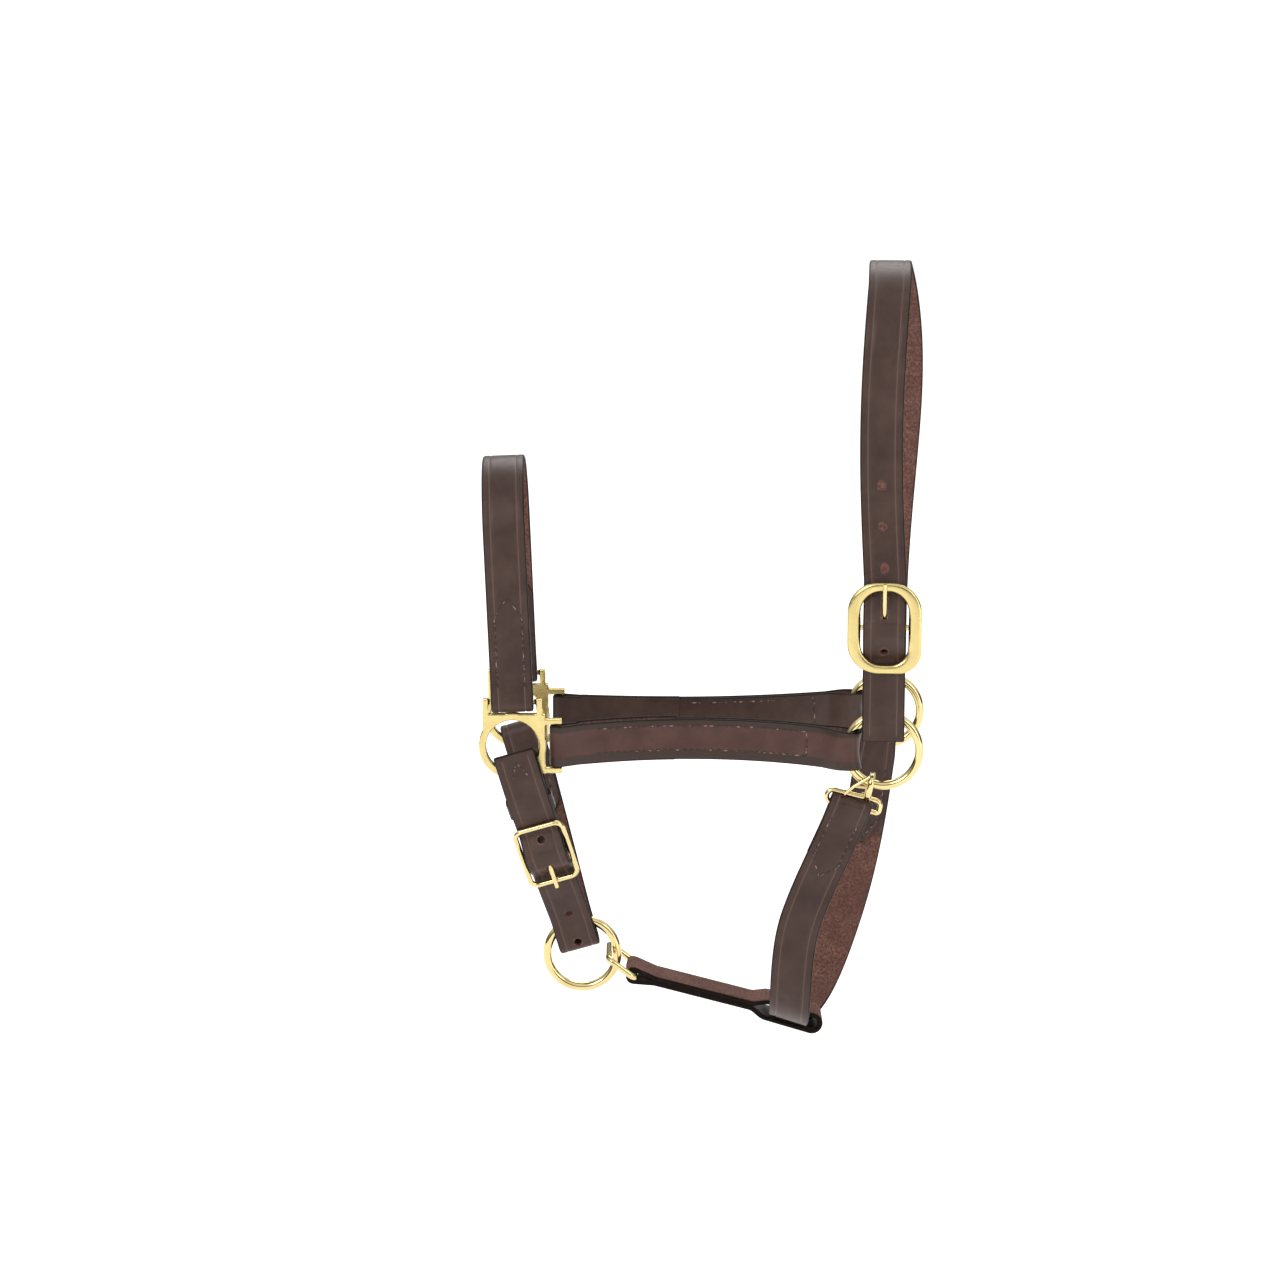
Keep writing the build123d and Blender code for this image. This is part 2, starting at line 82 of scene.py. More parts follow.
CHIN_FAR_BEND = -37.0
CHIN_TAIL = 34.0
CHIN_END = 2.5
CROWN_BAR_L = 77.5
CROWN_REACH = 24.9
CHIN_BAR_L = 70.8
CHIN_REACH = 20.9
BUCKLE_BAR_IN = -10.6
BILLET_UNDER = -8.3
BILLET_OVER = -17.7
BUCKLE_BAR_R = 1.6
TONGUE_R = 1.4
HOLE_R = 2.4
HOLE_PITCH = 24.6
PUNCH_REACH = 3.2
# How far the chin strap's turn hangs below a tight fold, and where its two lower holes lie
CHIN_SLACK = 7.0
CHIN_HOLE_DOWN = 18.0
CHIN_HOLE_UP = 4.6
# Bend radius of the crown above its billet, and how far in from the middle stitch rows run
CROWN_EASE = 120.0
ROW_OUT = 8.3
LINK_WIRE_R = 2.0
LINK_HALF_LENGTH = 10.2
LINK_HALF_WIDTH = 17.0
LINK_SLOPE = 37.0
LOOP_HALF_LENGTH = 15.6
LOOP_CLOSE = 3.6
LOOP_TILT = 17.0
RIM_BORE = 3.4
RING_MID_R = RING_BORE_R + RING_WIRE_R
RING_FOLD = math.sqrt(RING_BORE_R**2 - NECK_HALF**2) + RING_WIRE_R
# Stitch rows of each cheek, as distances up from its middle, and the arc step of its lap
CHEEK_ROWS = {"near": (8.6, -6.5), "far": (9.9, -8.6)}
LAP = 19
CROWN_FRAME_FACE = BILLET_UNDER - LEATHER / 2 - GAP - 4.5
CHIN_FRAME_FACE = BILLET_UNDER - LEATHER / 2 - GAP - 2 * BAR_R


# ---------------------------------------------------------------- frames
def shift(x, y, z):
    """A 4 by 4 matrix that moves by x, y, z."""
    matrix = np.eye(4)
    matrix[:3, 3] = (x, y, z)
    return matrix


def turn(axis, angle):
    """A 4 by 4 matrix that turns about the x, y or z axis by an angle in degrees."""
    matrix = np.eye(4)
    first, second = {"x": (1, 2), "y": (2, 0), "z": (0, 1)}[axis]
    c = math.cos(math.radians(angle))
    s = math.sin(math.radians(angle))
    matrix[first, first] = matrix[second, second] = c
    matrix[first, second] = -s
    matrix[second, first] = s
    return matrix


NOSE_LEAN = math.degrees(math.atan2(SQUARE_X, -AXIS_Z - TOP_BAR_Z))
nose_frame = turn("y", -NOSE_LEAN)
cheek_frame = shift(0, 0, AXIS_Z)
ring_frame = shift(RING_X, 0, AXIS_Z) @ turn("z", -RING_YAW)
square_frame = shift(SQUARE_X, 0, AXIS_Z)
throat_frame = ring_frame @ turn("y", THROAT_LEAN)
snap_frame = (throat_frame @ shift(0, 0, SNAP_PIVOT_Z) @ turn("y", -SNAP_SKEW)
              @ shift(0, 0, -SNAP_PIVOT_Z))
chin_frame = square_frame @ turn("y", -CHIN_LEAN)
crown_stack = ring_frame @ shift(0, -RING_Y, 0)
chin_stack = (chin_frame @ shift(0, -SQUARE_Y, -CHIN_LEG_PIVOT) @ turn("x", CHIN_LEG_SLOPE)
              @ shift(0, 0, CHIN_LEG_PIVOT) @ turn("y", 180))
flat_frame = np.eye(4)


def heading_to(start, end):
    return math.degrees(math.atan2(end[1] - start[1], end[0] - start[0]))


def along(start, heading, distance, side=0.0):
    """The point at a distance along a heading in degrees, moved sideways to its left."""
    angle = math.radians(heading)
    return (start[0] + distance * math.cos(angle) - side * math.sin(angle),
            start[1] + distance * math.sin(angle) + side * math.cos(angle))


# ---------------------------------------------------------------- paths
def rounded(points, radii, closed=False):
    """The line through the points, each inner corner rounded to its radius, as an N by 2 array.

    A corner's arc has its centre on the bisector and touches both legs at radius * tan(turn / 2)
    from the corner. The radius shrinks where the legs are too short for it."""
    points = [np.array(p, float) for p in points]
    count = len(points)
    corners = range(count) if closed else range(1, count - 1)
    used = {}
    pieces = [] if closed else [points[0][None, :]]
    for number, i in enumerate(corners):
        corner = points[i]
        before = points[i - 1] - corner
        after = points[(i + 1) % count] - corner
        length_in, length_out = np.linalg.norm(before), np.linalg.norm(after)
        before, after = before / length_in, after / length_out
        bend = math.pi - math.acos(max(-1.0, min(1.0, float(before @ after))))
        if bend < 0.01:
            pieces.append(corner[None, :])
            continue
        room = min(length_in - used.get(i - 1, 0.0), length_out * (0.5 if closed else 1.0))
        if not closed and i + 1 < count - 1:
            following = points[i + 2] - points[i + 1]
            next_bend = math.pi - math.acos(max(-1.0, min(1.0, float(
                -after @ following / np.linalg.norm(following)))))
            want = radii[number + 1] * math.tan(next_bend / 2)
            room = min(room, max(length_out - want, 0.3 * length_out))
        touch = min(radii[number] * math.tan(bend / 2), 0.999 * room)
        radius = touch / math.tan(bend / 2)
        used[i] = touch
        centre = corner + (before + after) / np.linalg.norm(before + after) * (
            radius / math.cos(bend / 2))
        start = corner + before * touch - centre
        spin = np.sign(-before[0] * after[1] + before[1] * after[0])
        angles = spin * np.linspace(0, bend, max(3, int(math.degrees(bend) / 5) + 2))
        c, s = np.cos(angles), np.sin(angles)
        arc = np.stack([c * start[0] - s * start[1], s * start[0] + c * start[1]], axis=1)
        pieces.append(centre + arc)
    if not closed:
        pieces.append(points[-1][None, :])
    line = np.concatenate(pieces)
    if closed:
        line = np.concatenate([line, line[:1]])
    return filled(line)


def filled(line, longest=2.5):
    """The same line with points added so that no step is longer than the given length."""
    steps = np.linalg.norm(np.diff(line, axis=0), axis=1)
    keep = np.concatenate([[True], steps > 1e-4])
    line = line[keep]
    steps = np.linalg.norm(np.diff(line, axis=0), axis=1)
    distance = np.concatenate([[0.0], np.cumsum(steps)])
    parts = [np.linspace(a, b, max(1, math.ceil((b - a) / longest)), endpoint=False)
             for a, b in zip(distance[:-1], distance[1:])]
    marks = np.concatenate(parts + [distance[-1:]])
    return np.stack([np.interp(marks, distance, line[:, k]) for k in (0, 1)], axis=1)


def run_length(line):
    return np.linalg.norm(np.diff(line, axis=0), axis=1).sum()


def blunted(s, length, past, reach):
    """Radius factor (1 - (1 - t)^2)^0.5 that rounds the end of a wire, t the way left to it."""
    left = np.clip((length + past - s) / reach, 0.05, 1)
    return np.sqrt(1 - (1 - left) ** 2)


def fold(centre, heading, bore, hold, taper, skin, clockwise=False):
    """Corner points and radii of a strap that comes in, turns back round a bar and leaves.

    The doubled strap leaves the bar along the heading. Its middle line stays bore + skin / 2 from
    the bar, is straight for the hold, then closes over the taper until its layers touch."""
    r = bore + skin / 2
    h = skin / 2
    far = hold + taper
    offsets = [(far, -h), (hold, -r), (-r, -r), (-r, r), (hold, r), (far, h)]
    if not clockwise:
        offsets = offsets[::-1]
    points = [along(centre, heading, forward, side) for forward, side in offsets]
    return points, [10.0, 8.0, r, r, 8.0, 10.0]


# ---------------------------------------------------------------- meshes
def finish_mesh(name, vertices, faces, material, values=None, sharp=35.0):
    """An object from vertices in millimetres, with its faces turned outwards.

    The signed volume is the sum over the faces of a . (b x c) / 6, and is negative where the
    shape is inside out."""
    corners = [np.array([(f[0], f[k], f[k + 1]) for f in faces if len(f) > k + 1], int)
               for k in range(1, max(len(f) for f in faces) - 1)]
    fan = np.concatenate([c for c in corners if len(c)])
    a, b, c = (vertices[fan[:, k]] for k in range(3))
    if np.einsum("ij,ij->i", a, np.cross(b, c)).sum() < 0:
        faces = [f[::-1] for f in faces]
    mesh = bpy.data.meshes.new(name)
    mesh.from_pydata((vertices * MM).tolist(), [], faces)
    for key, numbers in (values or {}).items():
        attribute = mesh.attributes.new(key, "FLOAT", "POINT")
        attribute.data.foreach_set("value", numbers.astype(np.float32))
    mesh.polygons.foreach_set("use_smooth", np.ones(len(mesh.polygons), bool))
    mesh.set_sharp_from_angle(angle=math.radians(sharp))
    mesh.materials.append(material)
    mesh.validate()
    piece = bpy.data.objects.new(name, mesh)
    bpy.context.scene.collection.objects.link(piece)
    return piece


def grid_faces(rows, columns, wrap_rows=False, wrap_columns=True, caps=True):
    """Quads over a grid of rows of points, each row closed on itself, with flat end caps."""
    i = np.arange(rows if wrap_rows else rows - 1)[:, None]
    j = np.arange(columns if wrap_columns else columns - 1)[None, :]
    down = (i + 1) % rows
    right = (j + 1) % columns
    quads = np.stack(np.broadcast_arrays(
        i * columns + j, i * columns + right, down * columns + right, down * columns + j), axis=-1)
    faces = quads.reshape(-1, 4).tolist()
    if caps and not wrap_rows:
        faces.append(list(range(columns))[::-1])
        faces.append([(rows - 1) * columns + k for k in range(columns)])
    return faces


def smooth_step(value, start, end):
    """0 before start, 1 after end, and 3t^2 - 2t^3 between them."""
    t = np.clip((value - start) / (end - start), 0.0, 1.0)
    return t * t * (3 - 2 * t)


# Distances in from the strap's edge at which its section has points
GRAIN_STEPS = np.array([0.0, 0.18, 0.5, 0.95, 1.6, 2.8, 4.1, 4.45, 4.7, 4.95, 5.3, 7.2, 9.8])
FLESH_STEPS = np.array([0.25, 0.7, 1.3, 3.0, 8.0])
EDGE_R = 1.5
CREASE_IN = 4.7
CREASE_WIDE = 0.36
# Share of its sag by which a fold follows a ring, and where that starts and ends
SADDLE_SHARE = 0.55
SADDLE_NEAR = 23
SADDLE_FAR = 40


class Strap:
    """A leather strap: one section carried along a path drawn in a plane of a frame.

    A point of the strap is P(s) + N(s) * h(d) + W * (w(s) - d) for the distance d in from its
    edge, where P is the path, N its normal, W the width axis, w the half width, and h the
    section's height: half the thickness, less an arc at the edge and a bell-shaped crease.
    Where the strap is folded round a ring, it also slides along the ring's spoke by the
    saddle's own sag, R - (R^2 - u^2)^0.5 at the distance u from the strap's middle."""

    def __init__(self, frame4, plane, line, grain=1, skin=LEATHER, half=None, sway=None,
                 crease=None, tip=(0.0, 0.0), closed=False, thick=None, saddle=()):
        axes = {"yz": (1, 2, 0), "xy": (0, 1, 2), "xz": (0, 2, 1)}[plane]
        self.frame4 = frame4
        self.a, self.b, self.w_axis = (frame4[:3, k] for k in axes)
        self.origin = frame4[:3, 3]
        self.line = line
        self.closed = closed
        self.saddle = saddle
        steps = np.linalg.norm(np.diff(line, axis=0), axis=1)
        self.s = np.concatenate([[0.0], np.cumsum(steps)])
        self.length = self.s[-1]
        self.skin = skin
        self.grain = grain
        directions = np.diff(line, axis=0) / steps[:, None]
        if closed:
            before = np.concatenate([directions[-1:], directions])
            after = np.concatenate([directions, directions[:1]])
        else:
            before = np.concatenate([directions[:1], directions])
            after = np.concatenate([directions, directions[-1:]])
        tangent = before + after
        tangent /= np.linalg.norm(tangent, axis=1)[:, None]
        self.normal2 = np.stack([-tangent[:, 1], tangent[:, 0]], axis=1) * grain
        width = np.full(len(line), STRAP_HALF) if half is None else half(line, self.s)
        if not closed:
            for length, distance in ((tip[0], self.s), (tip[1], self.length - self.s)):
                if length:
                    width = width * (0.16 + 0.84 * np.clip(distance / length, 0, 1))
        self.half = width
        self.sway = np.zeros(len(line)) if sway is None else sway(line, self.s)
        self.crease = np.zeros(len(line)) if crease is None else crease(line, self.s)
        self.thick = np.full(len(line), skin) if thick is None else thick(line, self.s)
        spread = line[:, :1] * self.a + line[:, 1:] * self.b + self.sway[:, None] * self.w_axis
        flow = np.gradient(spread, axis=0)
        flow /= np.linalg.norm(flow, axis=1)[:, None]
        wide = self.w_axis - (flow @ self.w_axis)[:, None] * flow
        self.wide3 = wide / np.linalg.norm(wide, axis=1)[:, None]

    def wide(self, s):
        """The width axis at distances s, square to the strap's own run."""
        axis = np.stack([np.interp(s, self.s, self.wide3[:, k]) for k in range(3)], axis=1)
        return axis / np.linalg.norm(axis, axis=1)[:, None]

    def centre(self, s):
        """Path points and normals in space at distances s along the strap."""
        p = np.stack([np.interp(s, self.s, self.line[:, k]) for k in (0, 1)], axis=1)
        n = np.stack([np.interp(s, self.s, self.normal2[:, k]) for k in (0, 1)], axis=1)
        n /= np.linalg.norm(n, axis=1)[:, None]
        sway = np.interp(s, self.s, self.sway)
        place = self.origin + p[:, :1] * self.a + p[:, 1:] * self.b + sway[:, None] * self.w_axis
        return place, n[:, :1] * self.a + n[:, 1:] * self.b

    def at(self, point):
        """Distance along the strap of the station nearest to a point of its plane."""
        return self.s[np.argmin(np.linalg.norm(self.line - np.array(point), axis=1))]

    def surface(self, s, across, side=1):
        """Points and outward normals on the grain side, or on the flesh side where side is -1."""
        place, n = self.centre(s)
        thick = np.interp(s, self.s, self.thick)[:, None]
        points = place + n * (side * thick / 2) + np.asarray(across)[:, None] * self.wide(s)
        return points, n * side

    def mesh(self, name, material):
        steps_out = [] if self.closed else [0.0, 0.2, 0.55, 1.1]
        extra = steps_out + [self.length - e for e in steps_out]
        s = np.unique(np.round(np.concatenate([self.s, extra]), 4))
        if self.closed:
            s = s[:-1]
        place, n = self.centre(s)
        half = np.interp(s, self.s, self.half)
        depth = np.interp(s, self.s, self.crease)
        end = np.full(len(s), 99.0) if self.closed else np.minimum(s, self.length - s)
        cap = np.sqrt(1 - (1 - np.clip(end / 1.1, 0, 1)) ** 2) * 0.55 + 0.45
        inset = 0.8 * (1 - np.clip(end / 0.9, 0, 1)) ** 2
        shrink = (half / STRAP_HALF)[:, None]
        grain_in = np.concatenate([GRAIN_STEPS, [STRAP_HALF], GRAIN_STEPS[::-1]])
        grain_sign = np.concatenate([np.ones(len(GRAIN_STEPS)), [1.0], -np.ones(len(GRAIN_STEPS))])
        flesh_in = np.concatenate([FLESH_STEPS, FLESH_STEPS[::-1]])
        flesh_sign = np.concatenate([-np.ones(len(FLESH_STEPS)), np.ones(len(FLESH_STEPS))])
        d = np.concatenate([grain_in, flesh_in])[None, :]
        sign = np.concatenate([grain_sign, flesh_sign])[None, :]
        top = np.concatenate([np.ones(len(grain_in)), np.zeros(len(flesh_in))])[None, :]
        drop = EDGE_R * (1 - np.sqrt(1 - (1 - np.clip(d / EDGE_R, 0, 1)) ** 2))
        pressed = np.exp(-((d - CREASE_IN) / CREASE_WIDE) ** 2) * top
        thick = np.interp(s, self.s, self.thick)[:, None]
        height = thick / 2 - drop - pressed * depth[:, None]
        height = np.where(top > 0, height, -height) * cap[:, None]
        across = sign * ((STRAP_HALF - d) * shrink - inset[:, None])
        points = (place[:, None, :] + height[..., None] * n[:, None, :]
                  + across[..., None] * self.wide(s)[:, None, :])
        flat = np.stack([np.interp(s, self.s, self.line[:, k]) for k in (0, 1)], axis=1)
        for centre, spoke, radius, bare in self.saddle:
            away = np.linalg.norm(flat - np.array(centre), axis=1)
            near = (1 - smooth_step(away, SADDLE_NEAR, SADDLE_FAR))[:, None]
            sag = radius - np.sqrt(radius ** 2 - np.clip(np.abs(across), 0, STRAP_HALF) ** 2)
            spoke3 = spoke[0] * self.a + spoke[1] * self.b
            points += (SADDLE_SHARE * (bare - sag) * near)[..., None] * spoke3
        shape = points.shape[:2]
        rim = np.maximum(np.clip(1 - d / 1.5, 0, 1), np.clip(1 - end / 1.2, 0, 1)[:, None])
        values = {
            "side": np.broadcast_to(top, shape).ravel(),
            "rim": np.broadcast_to(rim, shape).ravel(),
            "press": np.broadcast_to(pressed * (depth[:, None] > 0.02), shape).ravel(),
            "across": np.broadcast_to(across, shape).ravel() * MM,
        }
        faces = grid_faces(shape[0], shape[1], wrap_rows=self.closed)
        return finish_mesh(name, points.reshape(-1, 3), faces, material, values)


def tube(name, frame4, line, radius, material, plane="xz", closed=True, flat=1.0, power=2.0):
    """Wire carried along a path: P + r * (cos a * N + sin a * W), with a taken through 36 steps.

    flat squashes the section across the plane of the path, and a power above 2 squares it."""
    wire = Strap(frame4, plane, line, closed=closed)
    s = wire.s[:-1] if closed else wire.s
    place, n = wire.centre(s)
    a = np.linspace(0, 2 * math.pi, 36, endpoint=False)
    bulge = (np.abs(np.cos(a)) ** power + np.abs(np.sin(a)) ** power) ** (-1 / power)
    r = np.full(len(s), radius) if np.isscalar(radius) else radius(s)
    points = (place[:, None, :] + (r[:, None] * (bulge * np.cos(a))[None, :])[..., None]
              * n[:, None, :] + (r[:, None] * (bulge * np.sin(a) * flat)[None, :])[..., None]
              * wire.w_axis)
    faces = grid_faces(len(s), len(a), wrap_rows=closed)
    return finish_mesh(name, points.reshape(-1, 3), faces, material)


def stitches(name, strap, rows, material, pitch=4.4, side=1, thread=0.5):
    """Threads laid in rows on a strap's surface, each a lens: half length L, half width r.

    A point of a stitch is C + T * L * u + r * (1 - u^2)^0.5 * (cos a * N + sin a * B) for u from
    -1 to 1, with its middle C a little proud of the leather."""
    middles, normals, runs = [], [], []
    for start, end in rows:
        (s0, u0), (s1, u1) = start, end
        count = max(1, int(round(math.hypot(s1 - s0, u1 - u0) / pitch)))
        t = (np.arange(count) + 0.5) / count
        s = s0 + (s1 - s0) * t
        u = u0 + (u1 - u0) * t
        reach = 0.36 / count
        place, n = strap.surface(s, u, side)
        ahead, _ = strap.surface(s + (s1 - s0) * reach, u + (u1 - u0) * reach, side)
        middles.append(place)
        normals.append(n)
        runs.append(ahead - place)
    middles, normals, runs = (np.concatenate(k) for k in (middles, normals, runs))
    flat = runs / np.linalg.norm(runs, axis=1)[:, None]
    binormal = np.cross(normals, flat)
    u = np.array([-1.0, -0.8, -0.35, 0.35, 0.8, 1.0])
    a = np.linspace(0, 2 * math.pi, 6, endpoint=False)
    girth = thread * np.sqrt(np.maximum(1 - u ** 4, 0.02))
    lift = 0.12 - 0.5 * np.abs(u) ** 3 * thread
    points = (middles[:, None, None, :]
              + u[None, :, None, None] * runs[:, None, None, :]
              + (lift[:, None] + girth[:, None] * np.cos(a))[None, :, :, None]
              * normals[:, None, None, :]
              + (girth[:, None] * np.sin(a))[None, :, :, None] * binormal[:, None, None, :])
    base = np.array(grid_faces(len(u), len(a), caps=False))
    ring = np.arange(len(a))
    caps = [ring[::-1], (len(u) - 1) * len(a) + ring]
    step = len(u) * len(a)
    faces = []
    for k in range(len(middles)):
        faces += (base + k * step).tolist() + [(c + k * step).tolist() for c in caps]
    return finish_mesh(name, points.reshape(-1, 3), faces, material, sharp=80)


def punched(piece, strap, holes):
    """Cut round or long holes through a strap, each given as (s, across, half length)."""
    vertices, faces = [], []
    a = np.linspace(0, 2 * math.pi, 28, endpoint=False)
    for s, across, half_length in holes:
        place, n = strap.surface([s], [across])
        ahead, _ = strap.surface([s + 0.5], [across])
        run = (ahead[0] - place[0]) / np.linalg.norm(ahead[0] - place[0])
        middle = place[0] - n[0] * strap.skin / 2
        stretch = np.sign(np.cos(a)) * max(half_length - HOLE_R, 0)
        ring = (middle + (HOLE_R * np.cos(a) + stretch)[:, None] * run
                + (HOLE_R * np.sin(a))[:, None] * strap.w_axis)
        base = len(vertices)
        vertices += list(ring - PUNCH_REACH * n[0]) + list(ring + PUNCH_REACH * n[0])
        faces += [[base + k for k in f] for f in grid_faces(2, len(a))]
    cutter = finish_mesh(piece.name + "_punch", np.array(vertices), faces,
                         piece.data.materials[0])
    return carved(piece, cutter)


def applied(piece, *spent):
    """The piece with its modifiers made into its mesh, and the helper objects removed."""
    mesh = bpy.data.meshes.new_from_object(
        piece.evaluated_get(bpy.context.evaluated_depsgraph_get()))
    piece.modifiers.clear()
    piece.data = mesh
    mesh.set_sharp_from_angle(angle=math.radians(35))
    for helper in spent:
        bpy.data.objects.remove(helper)
    return piece


def carved(piece, cutter):
    """The piece with the cutter's shape taken out of it and the cutter removed."""
    cut = piece.modifiers.new("cut", "BOOLEAN")
    cut.operation = "DIFFERENCE"
    cut.solver = "EXACT"
    cut.object = cutter
    return applied(piece, cutter)


def cast_copy(name, node, material, voxel=0.42, rounds=5):
    """A copy of a hard node remeshed to small voxels and relaxed, so its edges are round."""
    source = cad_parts[node]
    mesh = source.data.copy()
    piece = bpy.data.objects.new(name, mesh)
    bpy.context.scene.collection.objects.link(piece)
    weld = piece.modifiers.new("weld", "WELD")
    weld.merge_threshold = 1e-6
    grid = piece.modifiers.new("voxels", "REMESH")
    grid.mode = "VOXEL"
    grid.voxel_size = voxel * MM
    relax = piece.modifiers.new("relax", "SMOOTH")
    relax.factor = 0.5
    relax.iterations = rounds
    applied(piece)
    piece.data.polygons.foreach_set("use_smooth", np.ones(len(piece.data.polygons), bool))
    piece.data.materials.clear()
    piece.data.materials.append(material)
    return piece


# ---------------------------------------------------------------- finishes
def group(name, inputs, outputs):
    """An empty node group with float, colour or vector sockets, and its in and out nodes."""
    tree = bpy.data.node_groups.new(name, "ShaderNodeTree")
    kinds = {"f": "NodeSocketFloat", "c": "NodeSocketColor", "v": "NodeSocketVector"}
    for label, kind, value in inputs:
        socket = tree.interface.new_socket(label, in_out="INPUT", socket_type=kinds[kind])
        socket.default_value = value
    for label, kind in outputs:
        tree.interface.new_socket(label, in_out="OUTPUT", socket_type=kinds[kind])
    return tree, tree.nodes.new("NodeGroupInput"), tree.nodes.new("NodeGroupOutput")


def node(tree, kind, links=None, **settings):
    """A new node with its properties set and its sockets linked or filled, by socket name."""
    made = tree.nodes.new("ShaderNode" + kind)
    for key, value in settings.items():
        setattr(made, key, value)
    for key, value in (links or {}).items():
        socket = made.inputs[key]
        if isinstance(value, bpy.types.NodeSocket):
            tree.links.new(value, socket)
        else:
            socket.default_value = value
    return made


def mix(tree, factor, first, second):
    """One colour into another by a mask from 0 to 1."""
    made = tree.nodes.new("ShaderNodeMix")
    made.data_type = "RGBA"
    for socket, value in ((made.inputs[0], factor), (made.inputs[6], first),
                          (made.inputs[7], second)):
        if isinstance(value, bpy.types.NodeSocket):
            tree.links.new(value, socket)
        else:
            socket.default_value = value
    return made.outputs[2]


def noise(tree, where, scale, **sockets):
    return node(tree, "TexNoise", {"Vector": where, "Scale": scale, **sockets}).outputs["Fac"]


def ranged(tree, value, low=0.0, high=1.0, start=0.0, end=1.0):
    """A value carried from one range to another and held at its ends."""
    return node(tree, "MapRange", {"Value": value, "From Min": low, "From Max": high,
                                   "To Min": start, "To Max": end}).outputs["Result"]


def maths(tree, operation, first, second=None, clamp=False):
    made = tree.nodes.new("ShaderNodeMath")
    made.operation = operation
    made.use_clamp = clamp
    for k, value in enumerate((first, second)):
        if isinstance(value, bpy.types.NodeSocket):
            tree.links.new(value, made.inputs[k])
        elif value is not None:
            made.inputs[k].default_value = value
    return made.outputs[0]


def hide_group():
    """Leather surface: pores between tiny pebbles, long soft blotches and fine handling marks."""
    tree, inlet, outlet = group(
        "hide_surface",
        [("Vector", "v", (0, 0, 0)), ("Pore Scale", "f", 1500.0), ("Blotch Scale", "f", 60.0)],
        [("Height", "f"), ("Blotch", "f"), ("Marks", "f")])
    where = inlet.outputs["Vector"]
    cells = node(tree, "TexVoronoi", {"Vector": where, "Scale": inlet.outputs["Pore Scale"]},
                 feature="DISTANCE_TO_EDGE")
    pores = ranged(tree, cells.outputs["Distance"], 0.0, 0.22)
    rough = noise(tree, where, 900.0, Detail=4.0)
    height = maths(tree, "ADD", maths(tree, "MULTIPLY", pores, 0.6),
                   maths(tree, "MULTIPLY", rough, 0.6))
    blotch = noise(tree, where, inlet.outputs["Blotch Scale"], Detail=5.0, Roughness=0.62)
    streak = noise(tree, where, 240.0, Detail=6.0, Roughness=0.7)
    tree.links.new(height, outlet.inputs["Height"])
    tree.links.new(ranged(tree, blotch, 0.32, 0.7), outlet.inputs["Blotch"])
    tree.links.new(ranged(tree, streak, 0.5, 0.78), outlet.inputs["Marks"])
    return tree


def metal_group():
    """Brass surface: a fine cast grain, patches of handling haze and patches of tarnish."""
    tree, inlet, outlet = group(
        "brass_surface",
        [("Vector", "v", (0, 0, 0)), ("Grain", "f", 800.0)],
        [("Height", "f"), ("Haze", "f"), ("Tarnish", "f")])
    where = inlet.outputs["Vector"]
    grain = noise(tree, where, inlet.outputs["Grain"], Detail=3.0)
    haze = noise(tree, where, 120.0, Detail=4.0, Roughness=0.6)
    dull = noise(tree, where, 45.0, Detail=5.0)
    tree.links.new(grain, outlet.inputs["Height"])
    tree.links.new(ranged(tree, haze, 0.35, 0.75), outlet.inputs["Haze"])
    tree.links.new(ranged(tree, dull, 0.5, 0.8), outlet.inputs["Tarnish"])
    return tree


# Half the width in metres over which a cheek's margin colour sets in
MARGIN_BLUR = 0.0004
HIDE = hide_group()
METAL = metal_group()


def material(name):
    """A new material with its own shader, and a reader of object coordinates."""
    made = bpy.data.materials.new(name)
    made.use_nodes = True
    tree = made.node_tree
    shader = tree.nodes["Principled BSDF"]
    where = tree.nodes.new("ShaderNodeTexCoord").outputs["Object"]
    return made, tree, shader, where


